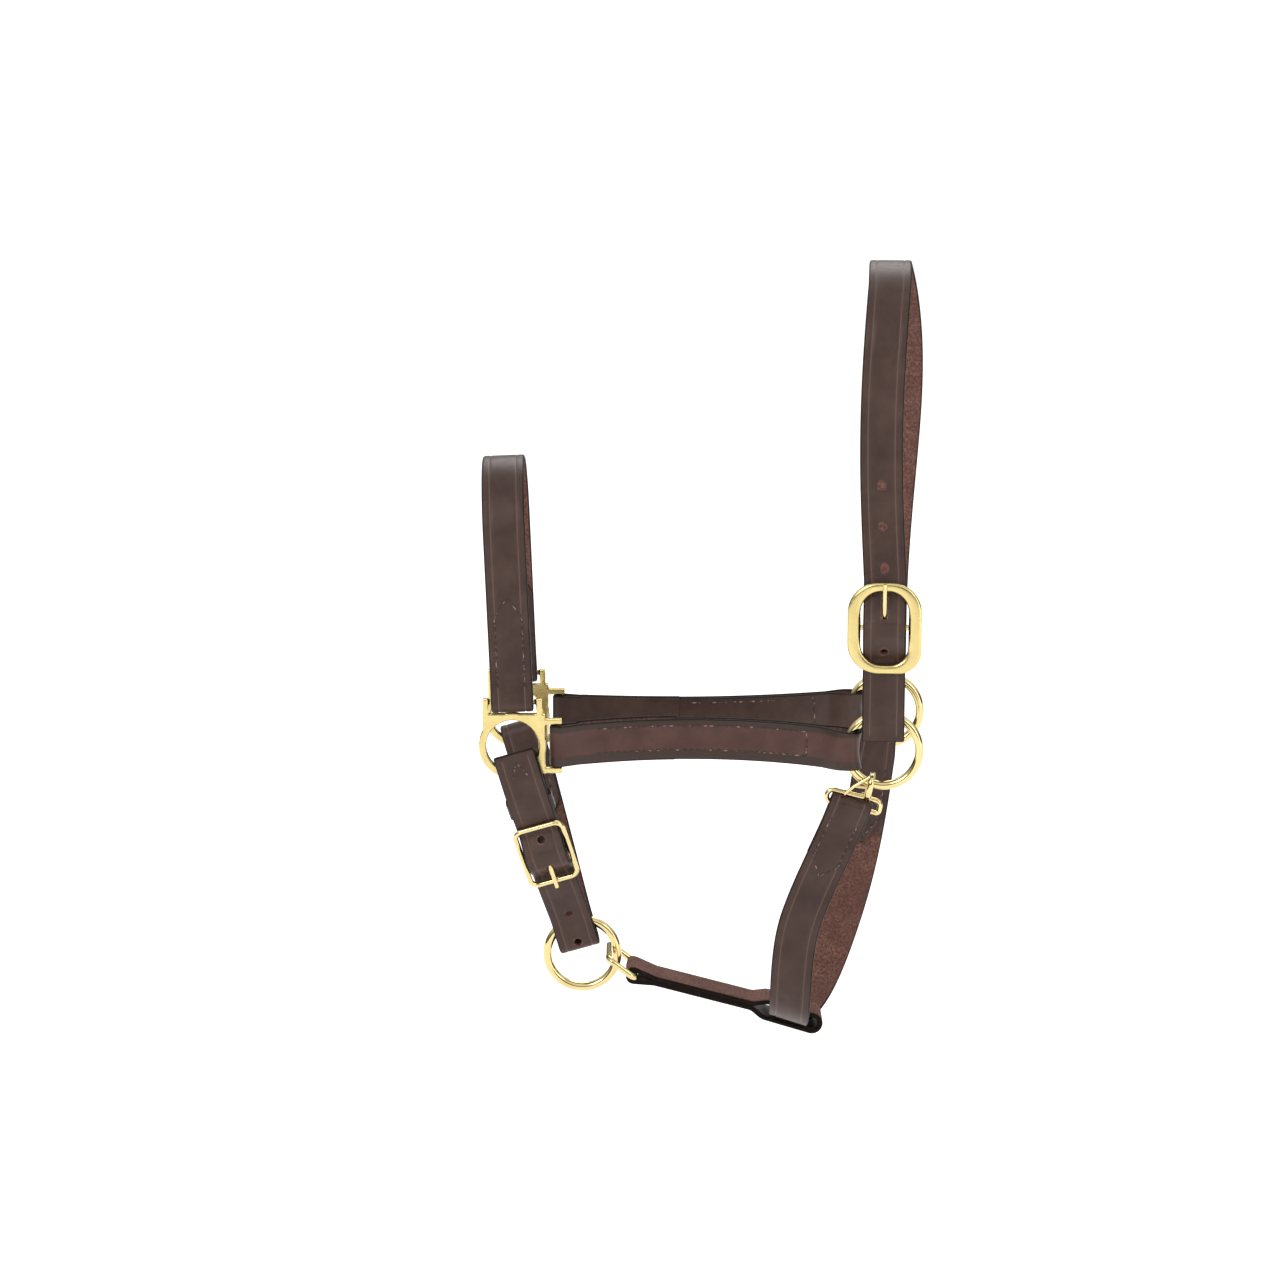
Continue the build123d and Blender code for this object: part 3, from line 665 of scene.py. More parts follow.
def bridle_leather(name, grain_dark, grain_light, flesh_dark, flesh_light, edge, line,
                   margin=None):
    """Waxed leather: grain colours on the side marked 1, suede on 0, burnt edges and pale lines.

    Where a margin colour is given, it replaces the grain's outside the two stitch rows."""
    made, tree, shader, where = material(name)
    surface = node(tree, "Group", {}, node_tree=HIDE)
    tree.links.new(where, surface.inputs["Vector"])
    read = {k: node(tree, "Attribute", attribute_name=k).outputs["Fac"]
            for k in ("side", "rim", "press")}
    grain = mix(tree, surface.outputs["Blotch"], grain_dark, grain_light)
    if margin:
        across = node(tree, "Attribute", attribute_name="across").outputs["Fac"]
        low, high = (u * MM for u in reversed(CHEEK_ROWS["near"]))
        under = ranged(tree, across, low + MARGIN_BLUR, low - MARGIN_BLUR)
        over = ranged(tree, across, high - MARGIN_BLUR, high + MARGIN_BLUR)
        outside = maths(tree, "ADD", under, over, clamp=True)
        grain = mix(tree, outside, grain, margin)
    flesh = mix(tree, surface.outputs["Blotch"], flesh_dark, flesh_light)
    speckle = noise(tree, where, 700.0, Detail=5.0, Roughness=0.75)
    pit = tuple(0.62 * c for c in flesh_dark[:3]) + (1,)
    flesh = mix(tree, ranged(tree, speckle, 0.42, 0.62), pit, flesh)
    on_grain = ranged(tree, read["side"], 0.3, 0.7)
    colour = mix(tree, on_grain, flesh, grain)
    pressed = maths(tree, "MULTIPLY", read["press"], 0.75, clamp=True)
    colour = mix(tree, pressed, colour, line)
    wear_and_specks = maths(tree, "MULTIPLY", surface.outputs["Marks"], 0.25)
    edge_mask = maths(tree, "SUBTRACT", ranged(tree, read["rim"], 0.25, 0.75), wear_and_specks, clamp=True)
    colour = mix(tree, edge_mask, colour, edge)
    tree.links.new(colour, shader.inputs["Base Color"])
    gloss = ranged(tree, surface.outputs["Marks"], start=0.40, end=0.56)
    suede = maths(tree, "MULTIPLY", maths(tree, "SUBTRACT", 1.0, on_grain), 0.45)
    tree.links.new(maths(tree, "ADD", gloss, suede, clamp=True), shader.inputs["Roughness"])
    sheen = maths(tree, "SUBTRACT", 0.27, maths(tree, "MULTIPLY", edge_mask, 0.2))
    tree.links.new(sheen, shader.inputs["Specular IOR Level"])
    nap = maths(tree, "MULTIPLY", speckle, maths(tree, "SUBTRACT", 1.6, on_grain))
    height = maths(tree, "ADD", surface.outputs["Height"], nap)
    bump = node(tree, "Bump", {"Strength": 0.32, "Distance": 0.00012, "Height": height})
    tree.links.new(bump.outputs["Normal"], shader.inputs["Normal"])
    return made


def brass(name, bright, deep, rough_low, rough_high, grain, bump_strength):
    """Solid brass whose colour and polish vary with handling haze and tarnish."""
    made, tree, shader, where = material(name)
    surface = node(tree, "Group", {"Grain": grain}, node_tree=METAL)
    tree.links.new(where, surface.inputs["Vector"])
    colour = mix(tree, maths(tree, "MULTIPLY", surface.outputs["Tarnish"], 0.6), bright, deep)
    tree.links.new(colour, shader.inputs["Base Color"])
    polish = ranged(tree, surface.outputs["Haze"], start=rough_low, end=rough_high)
    tree.links.new(polish, shader.inputs["Roughness"])
    shader.inputs["Metallic"].default_value = 1.0
    bump = node(tree, "Bump", {"Strength": bump_strength, "Distance": 0.00008,
                               "Height": surface.outputs["Height"]})
    tree.links.new(bump.outputs["Normal"], shader.inputs["Normal"])
    return made


def thread_material():
    """Waxed linen thread, twisted, as dark as the leather but pale in small specks."""
    made, tree, shader, where = material("waxed_thread")
    twist = node(tree, "TexWave", {"Vector": where, "Scale": 900.0, "Distortion": 1.5},
                 bands_direction="DIAGONAL")
    colour = mix(tree, twist.outputs["Fac"], (0.012, 0.007, 0.005, 1), (0.035, 0.02, 0.015, 1))
    # Small pale specks scattered along the thread by a noise mask.
    wear_and_specks = ranged(tree, noise(tree, where, 340.0, Detail=1.0), 0.53, 0.60)
    colour = mix(tree, wear_and_specks, colour, (0.19, 0.125, 0.105, 1))
    tree.links.new(colour, shader.inputs["Base Color"])
    shader.inputs["Roughness"].default_value = 0.55
    bump = node(tree, "Bump", {"Strength": 0.4, "Distance": 0.0001,
                               "Height": twist.outputs["Fac"]})
    tree.links.new(bump.outputs["Normal"], shader.inputs["Normal"])
    return made


HAVANA = bridle_leather(
    "havana_leather", (0.033, 0.0155, 0.0115, 1), (0.056, 0.030, 0.0225, 1),
    (0.115, 0.050, 0.038, 1), (0.22, 0.112, 0.086, 1), (0.006, 0.004, 0.003, 1),
    (0.125, 0.075, 0.060, 1))
RUSSET = bridle_leather(
    "russet_leather", (0.048, 0.019, 0.014, 1), (0.078, 0.034, 0.027, 1),
    (0.11, 0.048, 0.037, 1), (0.20, 0.10, 0.08, 1), (0.007, 0.004, 0.003, 1),
    (0.13, 0.072, 0.060, 1), margin=(0.036, 0.020, 0.015, 1))
POLISHED = brass("polished_brass", (0.70, 0.575, 0.28, 1), (0.52, 0.40, 0.16, 1),
                 0.06, 0.16, 1200.0, 0.04)
SATIN = brass("cast_brass", (0.64, 0.52, 0.225, 1), (0.55, 0.43, 0.16, 1),
              0.2, 0.34, 900.0, 0.12)
THREAD = thread_material()


# ---------------------------------------------------------------- placing
def put(piece, body, slot, *nodes):
    """The piece rides on a body and stands for some nodes; the slot is not used."""
    if nodes:
        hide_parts(*nodes)
    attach(piece, body)
    return piece


def leather(name, strap, body, *nodes, material=None, holes=()):
    piece = strap.mesh(name, material or HAVANA)
    if holes:
        piece = punched(piece, strap, holes)
    return put(piece, body, "bridle_leather", *nodes)


def sewn(name, strap, body, rows, **options):
    return put(stitches(name, strap, rows, THREAD, **options), body, "bridle_leather")


def metal(piece, body, *nodes, slot="polished_brass"):
    return put(piece, body, slot, *nodes)


def notched(piece, frame4, centre, size):
    """Cut a box out of a piece, its centre and size given in a frame."""
    signs = np.array([[x, y, z] for x in (-0.5, 0.5) for y in (-0.5, 0.5) for z in (-0.5, 0.5)])
    corners = signs * size + centre
    vertices = corners @ frame4[:3, :3].T + frame4[:3, 3]
    faces = [[0, 1, 3, 2], [4, 6, 7, 5], [0, 4, 5, 1], [2, 3, 7, 6], [0, 2, 6, 4], [1, 5, 7, 3]]
    cutter = finish_mesh(piece.name + "_notch", vertices, faces, piece.data.materials[0])
    return carved(piece, cutter)


def pointed_rows(start, bend, apex):
    """Two stitch rows along a strap end that close to a point at its middle."""
    rows = []
    for u in (-ROW_OUT, ROW_OUT):
        rows += [((start, u), (bend, u)), ((bend, u), (apex, 0))]
    return rows


def offset(points, distance):
    """A polyline moved to its left, with each inner corner mitred."""
    points = np.array(points, float)
    runs = np.diff(points, axis=0)
    runs /= np.linalg.norm(runs, axis=1)[:, None]
    left = np.stack([-runs[:, 1], runs[:, 0]], axis=1)
    before = np.concatenate([left[:1], left])
    after = np.concatenate([left, left[-1:]])
    mitre = before + after
    mitre *= 2 / (mitre * mitre).sum(axis=1)[:, None]
    return [tuple(p) for p in points + distance * mitre]


def on_ring(centre, heading):
    """The saddle of a fold on a wire ring, its spoke leaving the ring's centre at a heading."""
    spoke = (math.cos(math.radians(heading)), math.sin(math.radians(heading)))
    return (centre, spoke, RING_MID_R, RING_MID_R - RING_FOLD)


def pinched(*centres):
    """Half width a little under full where a strap is squeezed inside a ring."""
    def half(line, s):
        away = np.min([np.linalg.norm(line - np.array(c), axis=1) for c in centres], axis=0)
        return STRAP_HALF - 0.9 * (1 - smooth_step(away, 20, 32))
    return half


def creased(line, s):
    """Crease lines all along the strap, fading out before its ends."""
    end = np.minimum(s, s[-1] - s)
    return 0.3 * smooth_step(end, 3.0, 9.0)


# ---------------------------------------------------------------- noseband
def make_noseband():
    """Arched band whose ends turn back through the squares' slots and are sewn down."""
    bar_z = (AXIS_Z + TOP_BAR_Z) / math.cos(math.radians(NOSE_LEAN))
    outer = SQUARE_Y + LEATHER / 2
    inner = SQUARE_Y - LEATHER / 2
    points = [(-inner, bar_z + NOSE_TAIL)]
    radii = []
    for side in (-1, 1):
        turned, curves = fold((side * SQUARE_Y, bar_z), 90, BAR_R + 0.95, 0, 14, LEATHER, True)
        if side > 0:
            points += [(-outer, LEATHER / 2), (outer, LEATHER / 2)]
            radii += [42.0, 42.0]
        points += turned
        radii += curves
    points += [(inner, bar_z + NOSE_TAIL)]
    band = Strap(nose_frame, "yz", rounded(points, radii), crease=creased, tip=(14, 14))
    leather("noseband_leather", band, "head_frame", "noseband")
    rows = []
    for y in (-outer, outer, -inner, inner):
        rows += pointed_rows(*(band.at((y, bar_z + up)) for up in (9.0, 51.0, 63.5)))
    sewn("noseband_stitching", band, "head_frame", rows)


# ---------------------------------------------------------------- cheeks
def cheek_path(name, side):
    """Plan of a cheek: down its inner face, round the square's bar, back outside, round the ring.

    The doubled part bows towards the head in one arc whose ends turn by the cheek's slope."""
    front = (SQUARE_X + BACK_BAR_X, side * SQUARE_Y)
    yaw = math.radians(RING_YAW)
    reach = math.sqrt(RING_BORE_R**2 - NECK_HALF**2) - GAP + CHEEK_RING_BORE
    back = (RING_X - reach * math.cos(yaw) + side * RING_Y * math.sin(yaw),
            reach * math.sin(yaw) + side * RING_Y * math.cos(yaw))
    chord = heading_to(front, back)
    slope = -side * CHEEK_END_SLOPE[name]
    start = along(front, chord + slope, 13)
    end = along(back, chord + 180 - slope, 17)
    run = heading_to(start, end)
    angles = np.radians(np.linspace(run + slope, run - slope, 49))
    middle = (angles[1:] + angles[:-1]) / 2
    arc_steps = np.stack([np.cos(middle), np.sin(middle)], axis=1)
    spine = np.concatenate([[[0.0, 0.0]], np.cumsum(arc_steps, axis=0)])
    spine *= math.dist(start, end) / np.linalg.norm(spine[-1])
    spine += np.array(start)
    left = np.stack([-np.sin(angles), np.cos(angles)], axis=1)
    h = LEATHER / 2
    inner = spine - side * left * h
    outer = spine + side * left * h
    front_turn, front_radii = fold(front, chord + slope, BAR_R + GAP, 0, 13, LEATHER, side > 0)
    back_turn, back_radii = fold(back, chord + 180 - slope, CHEEK_RING_BORE, 4, 13, LEATHER,
                                 side > 0)
    points = [tuple(p) for p in inner[LAP:0:-1]] + front_turn
    points += [tuple(p) for p in outer[1:-1]] + back_turn
    points += [tuple(p) for p in inner[-2:LAP - 2:-1]]
    curves = [10.0] * (LAP - 1) + front_radii + [10.0] * 47 + back_radii + [10.0] * (50 - LAP)
    ring = (RING_X + side * RING_Y * math.sin(yaw), side * RING_Y * math.cos(yaw))
    line = rounded(points, curves[:len(points) - 2])
    return line, inner, outer, on_ring(ring, heading_to(ring, back))


def make_cheek(name, side):
    """Doubled cheek with two rows of stitching and a cross row by the ring."""
    line, inner, outer, saddle = cheek_path(name, side)
    slim = pinched(saddle[0])
    tail = run_length(inner[:LAP + 1])

    def lapped(path, s):
        return slim(path, s) + 1.1 * (s < tail)

    def skived(path, s):
        return LEATHER + 0.7 * (1 - smooth_step(s, tail - 12, tail))

    strap = Strap(cheek_frame, "xy", line, grain=side, half=lapped, thick=skived,
                  saddle=[saddle])
    leather(name + "_cheek_leather", strap, "head_frame", name + "_cheek_strap",
            material=RUSSET if name == "near" else HAVANA)
    high, low = CHEEK_ROWS[name]
    rows = []
    for face, first in ((outer, 3), (inner, LAP + 2)):
        begin, end = strap.at(face[first]), strap.at(face[-4])
        rows += [((begin, u), (end, u)) for u in (low, high)]
        rows.append(((end, low), (end + 0.01, high)))
    sewn(name + "_cheek_stitching", strap, "head_frame", rows, pitch=4.2)


# ---------------------------------------------------------------- chapes and buckled ends
def chape_path(turn_point, turn_heading, bore, hold, bar_z, reach):
    """Loop of a chape: down inside, round the ring, up outside, round the buckle's bar, down."""
    slack = (-2.9, bar_z - (reach - 4.4))
    bar = (BUCKLE_BAR_IN, bar_z)
    back = heading_to(bar, slack)
    h = CHAPE_LEATHER / 2
    route = [along(turn_point, turn_heading, hold + 12), slack, along(bar, back, 9)]
    inner = offset(route, -h)
    outer = offset(route, h)
    low, low_radii = fold(turn_point, turn_heading, bore, hold, 12, CHAPE_LEATHER, True)
    high, high_radii = fold(bar, back, BUCKLE_BAR_R + 0.25, 0, 9, CHAPE_LEATHER, True)
    middle = tuple((np.array(inner[0]) + np.array(inner[1])) / 2)
    points = [middle] + low + [outer[1]] + high + [inner[1], middle]
    return rounded(points, low_radii + [12.0] + high_radii + [12.0])


def billet_points(bar_z, reach):
    """Under the frame, over the centre bar, under the frame again."""
    return [(BILLET_UNDER, bar_z - reach + 5.8), (BILLET_OVER, bar_z - 4.5),
            (BILLET_OVER, bar_z + 4.5), (BILLET_UNDER, bar_z + reach - 5.8)]


def make_tongue(name, stack, bar_z, reach, frame_y, body, node):
    """Prong on a loop round the centre bar, its tip lying on the frame."""
    rest_y = frame_y - TONGUE_R - 0.9
    start = (BUCKLE_BAR_IN - 3.15, bar_z + 0.6)
    tip = (rest_y, bar_z + reach + 2.4)
    line = rounded([start, (rest_y - 0.15, bar_z + reach * 0.75), tip], [30.0])
    length = run_length(line)

    def radius(s):
        return (1.65 - 0.45 * s / length) * blunted(s, length, 1.4, 1.5)

    prong = tube(name + "_prong", stack, line, radius, POLISHED, "yz", closed=False)
    metal(prong, body, node)
    a = np.linspace(0, 2 * math.pi, 49)
    ring = np.stack([BUCKLE_BAR_IN + 2.6 * np.cos(a), bar_z + 2.6 * np.sin(a)], axis=1)
    metal(tube(name + "_loop", stack, ring, 0.75, POLISHED, "yz", flat=2.0, power=3.0), body)


def straight_bar(name, frame4, y, z, half, radius, body):
    line = filled(np.array([(-half, z), (half, z)]))
    bar = tube(name, frame4 @ shift(0, y, 0), line, radius, POLISHED, closed=False)
    return metal(bar, body)


def box_path(half_x, half_y, radius):
    """A rounded rectangle that starts in the middle of its right side."""
    corners = [(half_x, 0), (half_x, half_y), (-half_x, half_y), (-half_x, -half_y),
               (half_x, -half_y)]
    return rounded(corners, [0.01] + [radius] * 4, closed=True)


def evenly(line, count):
    """A line resampled to a number of equal steps."""
    steps = np.linalg.norm(np.diff(line, axis=0), axis=1)
    s = np.concatenate([[0.0], np.cumsum(steps)])
    marks = np.linspace(0, s[-1], count, endpoint=False)
    return np.stack([np.interp(marks, s, line[:, k]) for k in (0, 1)], axis=1)


def flat_frame_ring(name, frame4, outer, inner, thick, material):
    """Buckle frame between two outlines: M + H * c + Y * t / 2 * d on a squared circle c, d."""
    o, i = evenly(outer, 240), evenly(inner, 240)
    middle, half = (o + i) / 2, (o - i) / 2
    a = np.linspace(0, 2 * math.pi, 32, endpoint=False)
    bulge = (np.abs(np.cos(a)) ** 3.2 + np.abs(np.sin(a)) ** 3.2) ** (-1 / 3.2)
    c, d = bulge * np.cos(a), bulge * np.sin(a)
    flat = middle[:, None, :] + half[:, None, :] * c[None, :, None]
    depth = np.broadcast_to(d * thick / 2, flat.shape[:2])
    local = np.stack([flat[..., 0], depth, flat[..., 1]], axis=-1).reshape(-1, 3)
    vertices = local @ frame4[:3, :3].T + frame4[:3, 3]
    return finish_mesh(name, vertices, grid_faces(240, 32, wrap_rows=True), material)


# ---------------------------------------------------------------- crown
def crown_sway(line, s):
    """The near half bows a little forward and the far half back, as a hung strap does."""
    near = -3.4 * np.sin(math.pi * np.clip((line[:, 1] - 105) / 172, 0, 1))
    far = 7.6 * np.sin(math.pi * np.clip((line[:, 1] - 60) / 226, 0, 1) ** 1.8)
    across = smooth_step(line[:, 0], RING_Y - 40, RING_Y + 40)
    return near * (1 - across) + far * across


def make_crown():
    near, far = RING_Y - CROWN_HALF_SPAN, RING_Y + CROWN_HALF_SPAN
    turned, curves = fold((2 * RING_Y, RING_FOLD), 90, RING_WIRE_R + GAP, 3, 13, LEATHER, True)
    points = [(BILLET_UNDER, CROWN_END)] + billet_points(CROWN_BAR_L, CROWN_REACH)
    points += [(near, 140), (near, CROWN_TOP), (far, CROWN_TOP)] + turned
    points += [(2 * RING_Y - LEATHER / 2, RING_FOLD + CROWN_TAIL)]
    top = CROWN_HALF_SPAN - 0.5
    line = rounded(points, [8, 5, 5, 8, CROWN_EASE, top, top] + curves)
    strap = Strap(crown_stack, "yz", line, half=pinched((2 * RING_Y, 0)), sway=crown_sway,
                  crease=creased, tip=(0, 13), saddle=[on_ring((2 * RING_Y, 0), 90)])
    used = strap.at((BILLET_OVER + 2, CROWN_BAR_L + 12))
    first = strap.at((BILLET_UNDER, CROWN_BAR_L + 10.4 + HOLE_PITCH))
    holes = [(used, 0, 7.5)] + [(first + k * HOLE_PITCH, 0, HOLE_R) for k in range(3)]
    holes += [(strap.at((-12, CROWN_BAR_L + 10.4 - HOLE_PITCH)), 0, HOLE_R)]
    leather("crown_leather", strap, "crown", "crown_strap", holes=holes)
    rows = []
    for y in (2 * RING_Y + LEATHER / 2, 2 * RING_Y - LEATHER / 2):
        rows += pointed_rows(*(strap.at((y, RING_FOLD + up)) for up in (18.0, 48.0, 59.0)))
    sewn("crown_stitching", strap, "crown", rows)

    loop = chape_path((0, RING_FOLD), 90, RING_WIRE_R + GAP, 3, CROWN_BAR_L, CROWN_REACH)
    chape = Strap(crown_stack, "yz", loop, half=pinched((0, 0)), skin=CHAPE_LEATHER,
                  saddle=[on_ring((0, 0), 90)])
    piece = leather("crown_chape_leather", chape, "crown", "crown_chape")
    notched(piece, crown_stack, (0, BUCKLE_BAR_IN, CROWN_BAR_L), (5.2, 14, 13))

    middle_y = CROWN_FRAME_FACE + 2.25
    seat = crown_stack @ shift(0, middle_y, CROWN_BAR_L)
    frame_piece = flat_frame_ring("crown_buckle", seat, box_path(22.1, CROWN_REACH + 2.65, 18.5),
                                  box_path(14.2, 22.3, 12.5), 4.5, SATIN)
    metal(frame_piece, "crown", "crown_buckle_frame", slot="cast_brass")
    straight_bar("crown_buckle_bar", crown_stack, BUCKLE_BAR_IN, CROWN_BAR_L, 17, BUCKLE_BAR_R,
                 "crown")
    make_tongue("crown_tongue", crown_stack, CROWN_BAR_L, CROWN_REACH, CROWN_FRAME_FACE,
                "crown_tongue", "crown_buckle_tongue")


# ---------------------------------------------------------------- throat
def throat_sway(line, s):
    """The near half bows forward from the snap to the loop, and the far half bows back."""
    y, z = line[:, 0], line[:, 1]
    near = -14.8 * smooth_step(z, -204, -116) * (1 - 0.46 * smooth_step(z, -118, -30))
    far = 17.0 * np.sin(math.pi / 2 * np.clip((-z - 14) / 126, 0, 1))
    side = smooth_step(y, -20, 75)
    return near * (1 - smooth_step(y, -20, 20)) + far * side


def make_throat():
    half = RING_Y + LEATHER / 2
    inner = RING_Y - LEATHER / 2
    near, near_radii = fold((-RING_Y, SNAP_BAR_Z), -90, BAR_R + GAP, 0, 12, LEATHER, False)
    far, far_radii = fold((RING_Y, -RING_FOLD), -90, RING_WIRE_R + GAP, 3, 13, LEATHER, False)
    points = [(-inner, -88)] + near + [(-half, -THROAT_DROP), (half, -THROAT_DROP)] + far
    points += [(inner, -THROAT_TAIL)]
    line = rounded(points, near_radii + [THROAT_CORNER_R] * 2 + far_radii)
    strap = Strap(throat_frame, "yz", line, grain=-1, half=pinched((RING_Y, 0)),
                  sway=throat_sway, crease=creased, tip=(12, 14),
                  saddle=[on_ring((RING_Y, 0), -90)])
    leather("throat_leather", strap, "throat", "throat_strap")
    rows = []
    for y in (-half, -inner):
        rows += pointed_rows(*(strap.at((y, z)) for z in (SNAP_BAR_Z - 9, -77, -86)))
    for y in (half, inner):
        rows += pointed_rows(*(strap.at((y, z)) for z in (-RING_FOLD - 18, -70, -83)))
    sewn("throat_stitching", strap, "throat", rows)


# ---------------------------------------------------------------- chin
RIM_FOLD = math.sqrt(SQUARE_BORE_R**2 - STRAP_HALF**2) + 2.0
RIM_HOLD = SQUARE_RIM_R + 2.2 - RIM_FOLD


def chin_from_stack(point):
    """A point of the chin's buckled joint in the chin frame's own plane."""
    c, s = math.cos(math.radians(CHIN_LEG_SLOPE)), math.sin(math.radians(CHIN_LEG_SLOPE))
    y, z = point[0], point[1] - CHIN_LEG_PIVOT
    return (-SQUARE_Y + y * c + z * s, -CHIN_LEG_PIVOT + y * s - z * c)


def make_chin():
    hang_y = chin_from_stack((BILLET_UNDER, CHIN_LEG_PIVOT))[0]
    points = [(hang_y - 2.0, -CHIN_END), (hang_y - 0.8, 3 - CHIN_LEG_PIVOT)]
    points += [chin_from_stack((BILLET_UNDER, CHIN_LEG_PIVOT + 8))]
    points += [chin_from_stack(p) for p in billet_points(CHIN_BAR_L, CHIN_REACH)]
    chord = math.sqrt(RING_BORE_R**2 - STRAP_HALF**2)
    turn_r = RING_WIRE_R + GAP + LEATHER / 2
    bend_z = -(CHIN_RING_DROP - chord + GAP - RING_WIRE_R - GAP)
    above = -(CHIN_RING_DROP - RING_MID_R - RING_WIRE_R) + 1.5
    low = bend_z - turn_r - CHIN_SLACK
    corner = (SQUARE_Y, CHIN_FAR_BEND)
    heading = heading_to(corner, (turn_r, above))
    rim = (SQUARE_Y, -RIM_FOLD)
    route = [along(rim, -90, RIM_HOLD + 12), corner, along(corner, heading, CHIN_TAIL)]
    h = LEATHER / 2
    outer, inner = offset(route, h), offset(route, -h)
    turned, curves = fold(rim, -90, RIM_BORE, RIM_HOLD, 12, LEATHER, False)
    points += [(-turn_r, above), (-turn_r, low), (turn_r, low),
               (turn_r, above), outer[2], outer[1]] + turned + [inner[1], inner[2]]
    line = rounded(points, [30, 30, 8, 5, 5, 8, 12, turn_r, turn_r, 12, 30, 8] + curves + [8])
    strap = Strap(chin_frame, "yz", line, grain=-1, crease=creased, tip=(0, 12))
    used = strap.at(chin_from_stack((BILLET_OVER + 2, CHIN_BAR_L + 12)))
    holes = [(used, 0, 8.5)]
    holes += [(strap.at(chin_from_stack((-11, CHIN_BAR_L + 13 - HOLE_PITCH))), 0, HOLE_R)]
    first = strap.at(chin_from_stack((BILLET_UNDER, CHIN_BAR_L + 13 + HOLE_PITCH)))
    holes += [(first + CHIN_HOLE_DOWN, 0, HOLE_R),
              (strap.at((-turn_r, low + CHIN_HOLE_UP)), 0, HOLE_R)]
    leather("chin_leather", strap, "chin", "chin_strap", holes=holes)
    rows = []
    for y, z in (inner[1], outer[1]):
        bend = strap.at((y, z))
        sign = 1 if (y, z) == inner[1] else -1
        rows += pointed_rows(bend - sign * 6, bend + sign * 20, bend + sign * 31)
    sewn("chin_stitching", strap, "chin", rows)
    sewn("chin_end_stitching", strap, "chin", [((5.6, 0), (16, 5)), ((5.6, 0), (16, -5))],
         pitch=3.4)

    rise = CHIN_LEG_PIVOT - RIM_FOLD
    turn_angle = math.radians(CHIN_LEG_SLOPE)
    rim_point = (rise * math.sin(turn_angle), CHIN_LEG_PIVOT - rise * math.cos(turn_angle))
    loop = chape_path(rim_point, 90 + CHIN_LEG_SLOPE, RIM_BORE, RIM_HOLD, CHIN_BAR_L, CHIN_REACH)
    chape = Strap(chin_stack, "yz", loop, skin=CHAPE_LEATHER)
    piece = leather("chin_chape_leather", chape, "chin", "chin_chape")
    notched(piece, chin_stack, (0, BUCKLE_BAR_IN, CHIN_BAR_L), (5.2, 14, 13))

    top, bottom = 0.7, -5.4
    band = box_path(STRAP_HALF + 1.0, (top - bottom) / 2 + 0.6, 2.0)
    seat = chin_stack @ shift(0, (top + bottom) / 2, 38.5)
    keeper = Strap(seat, "xy", band, grain=-1, skin=1.2, closed=True,
                   half=lambda line, s: np.full(len(line), 6.0))
    leather("chin_keeper_leather", keeper, "chin", "chin_keeper")

    middle_y = CHIN_FRAME_FACE + BAR_R
    seat = chin_stack @ shift(0, middle_y, CHIN_BAR_L)
    wire = tube("chin_buckle", seat, box_path(14.7, CHIN_REACH, 5.0), BAR_R, POLISHED)
    metal(wire, "chin", "chin_buckle_frame")
    straight_bar("chin_buckle_bar", chin_stack, BUCKLE_BAR_IN, CHIN_BAR_L, 14.7, BUCKLE_BAR_R,
                 "chin")
    make_tongue("chin_tongue", chin_stack, CHIN_BAR_L, CHIN_REACH, CHIN_FRAME_FACE,
                "chin_tongue", "chin_buckle_tongue")


# ---------------------------------------------------------------- rings, link and back strap
def make_ring(name, frame4, body, node):
    a = np.linspace(0, 2 * math.pi, 145)
    circle = RING_MID_R * np.stack([np.cos(a), np.sin(a)], axis=1)
    metal(tube(name, frame4, circle, RING_WIRE_R, POLISHED), body, node)


def make_back():
    chin_x = SQUARE_X + CHIN_RING_DROP * math.sin(math.radians(CHIN_LEAN))
    chin_z = AXIS_Z - CHIN_RING_DROP * math.cos(math.radians(CHIN_LEAN))
    make_ring("lead_ring_wire", shift(chin_x, 0, chin_z), "lead_ring", "chin_ring")
    first = (chin_x + RING_BORE_R - LINK_WIRE_R - 0.5, chin_z + 1.0)
    bar = along(first, -LINK_SLOPE, 2 * LINK_HALF_LENGTH)
    seat = shift((first[0] + bar[0]) / 2, 0, (first[1] + bar[1]) / 2) @ turn("y", LINK_SLOPE)
    link = tube("link_wire", seat, box_path(LINK_HALF_LENGTH, LINK_HALF_WIDTH, 4.2), LINK_WIRE_R,
                POLISHED, "xy")
    metal(link, "link", "oval_link")
    lean = math.radians(THROAT_LEAN)
    low = (RING_X - THROAT_DROP * math.sin(lean), AXIS_Z - THROAT_DROP * math.cos(lean))
    wall = BACK_LEATHER / 2
    long_r = LOOP_CLOSE + wall
    corner = LOOP_HALF_LENGTH + wall + 1.2
    join = along(low, 180 - LOOP_TILT, LOOP_HALF_LENGTH + 11)
    heading = heading_to(bar, join)
    turned, curves = fold(bar, heading, LINK_WIRE_R + GAP, 0, 13, BACK_LEATHER, True)
    points = turned + [along(low, -LOOP_TILT, x, y) for x, y in (
        (-corner - 7, wall), (-corner + 1, long_r), (corner, long_r), (corner, -long_r),
        (-corner + 1, -long_r), (-corner - 7, -wall))]
    line = rounded(points, curves + [10, 8, long_r, long_r, 8, 10], closed=True)
    strap = Strap(flat_frame, "xz", line, grain=-1, skin=BACK_LEATHER, closed=True)
    leather("back_leather", strap, "back", "back_strap")


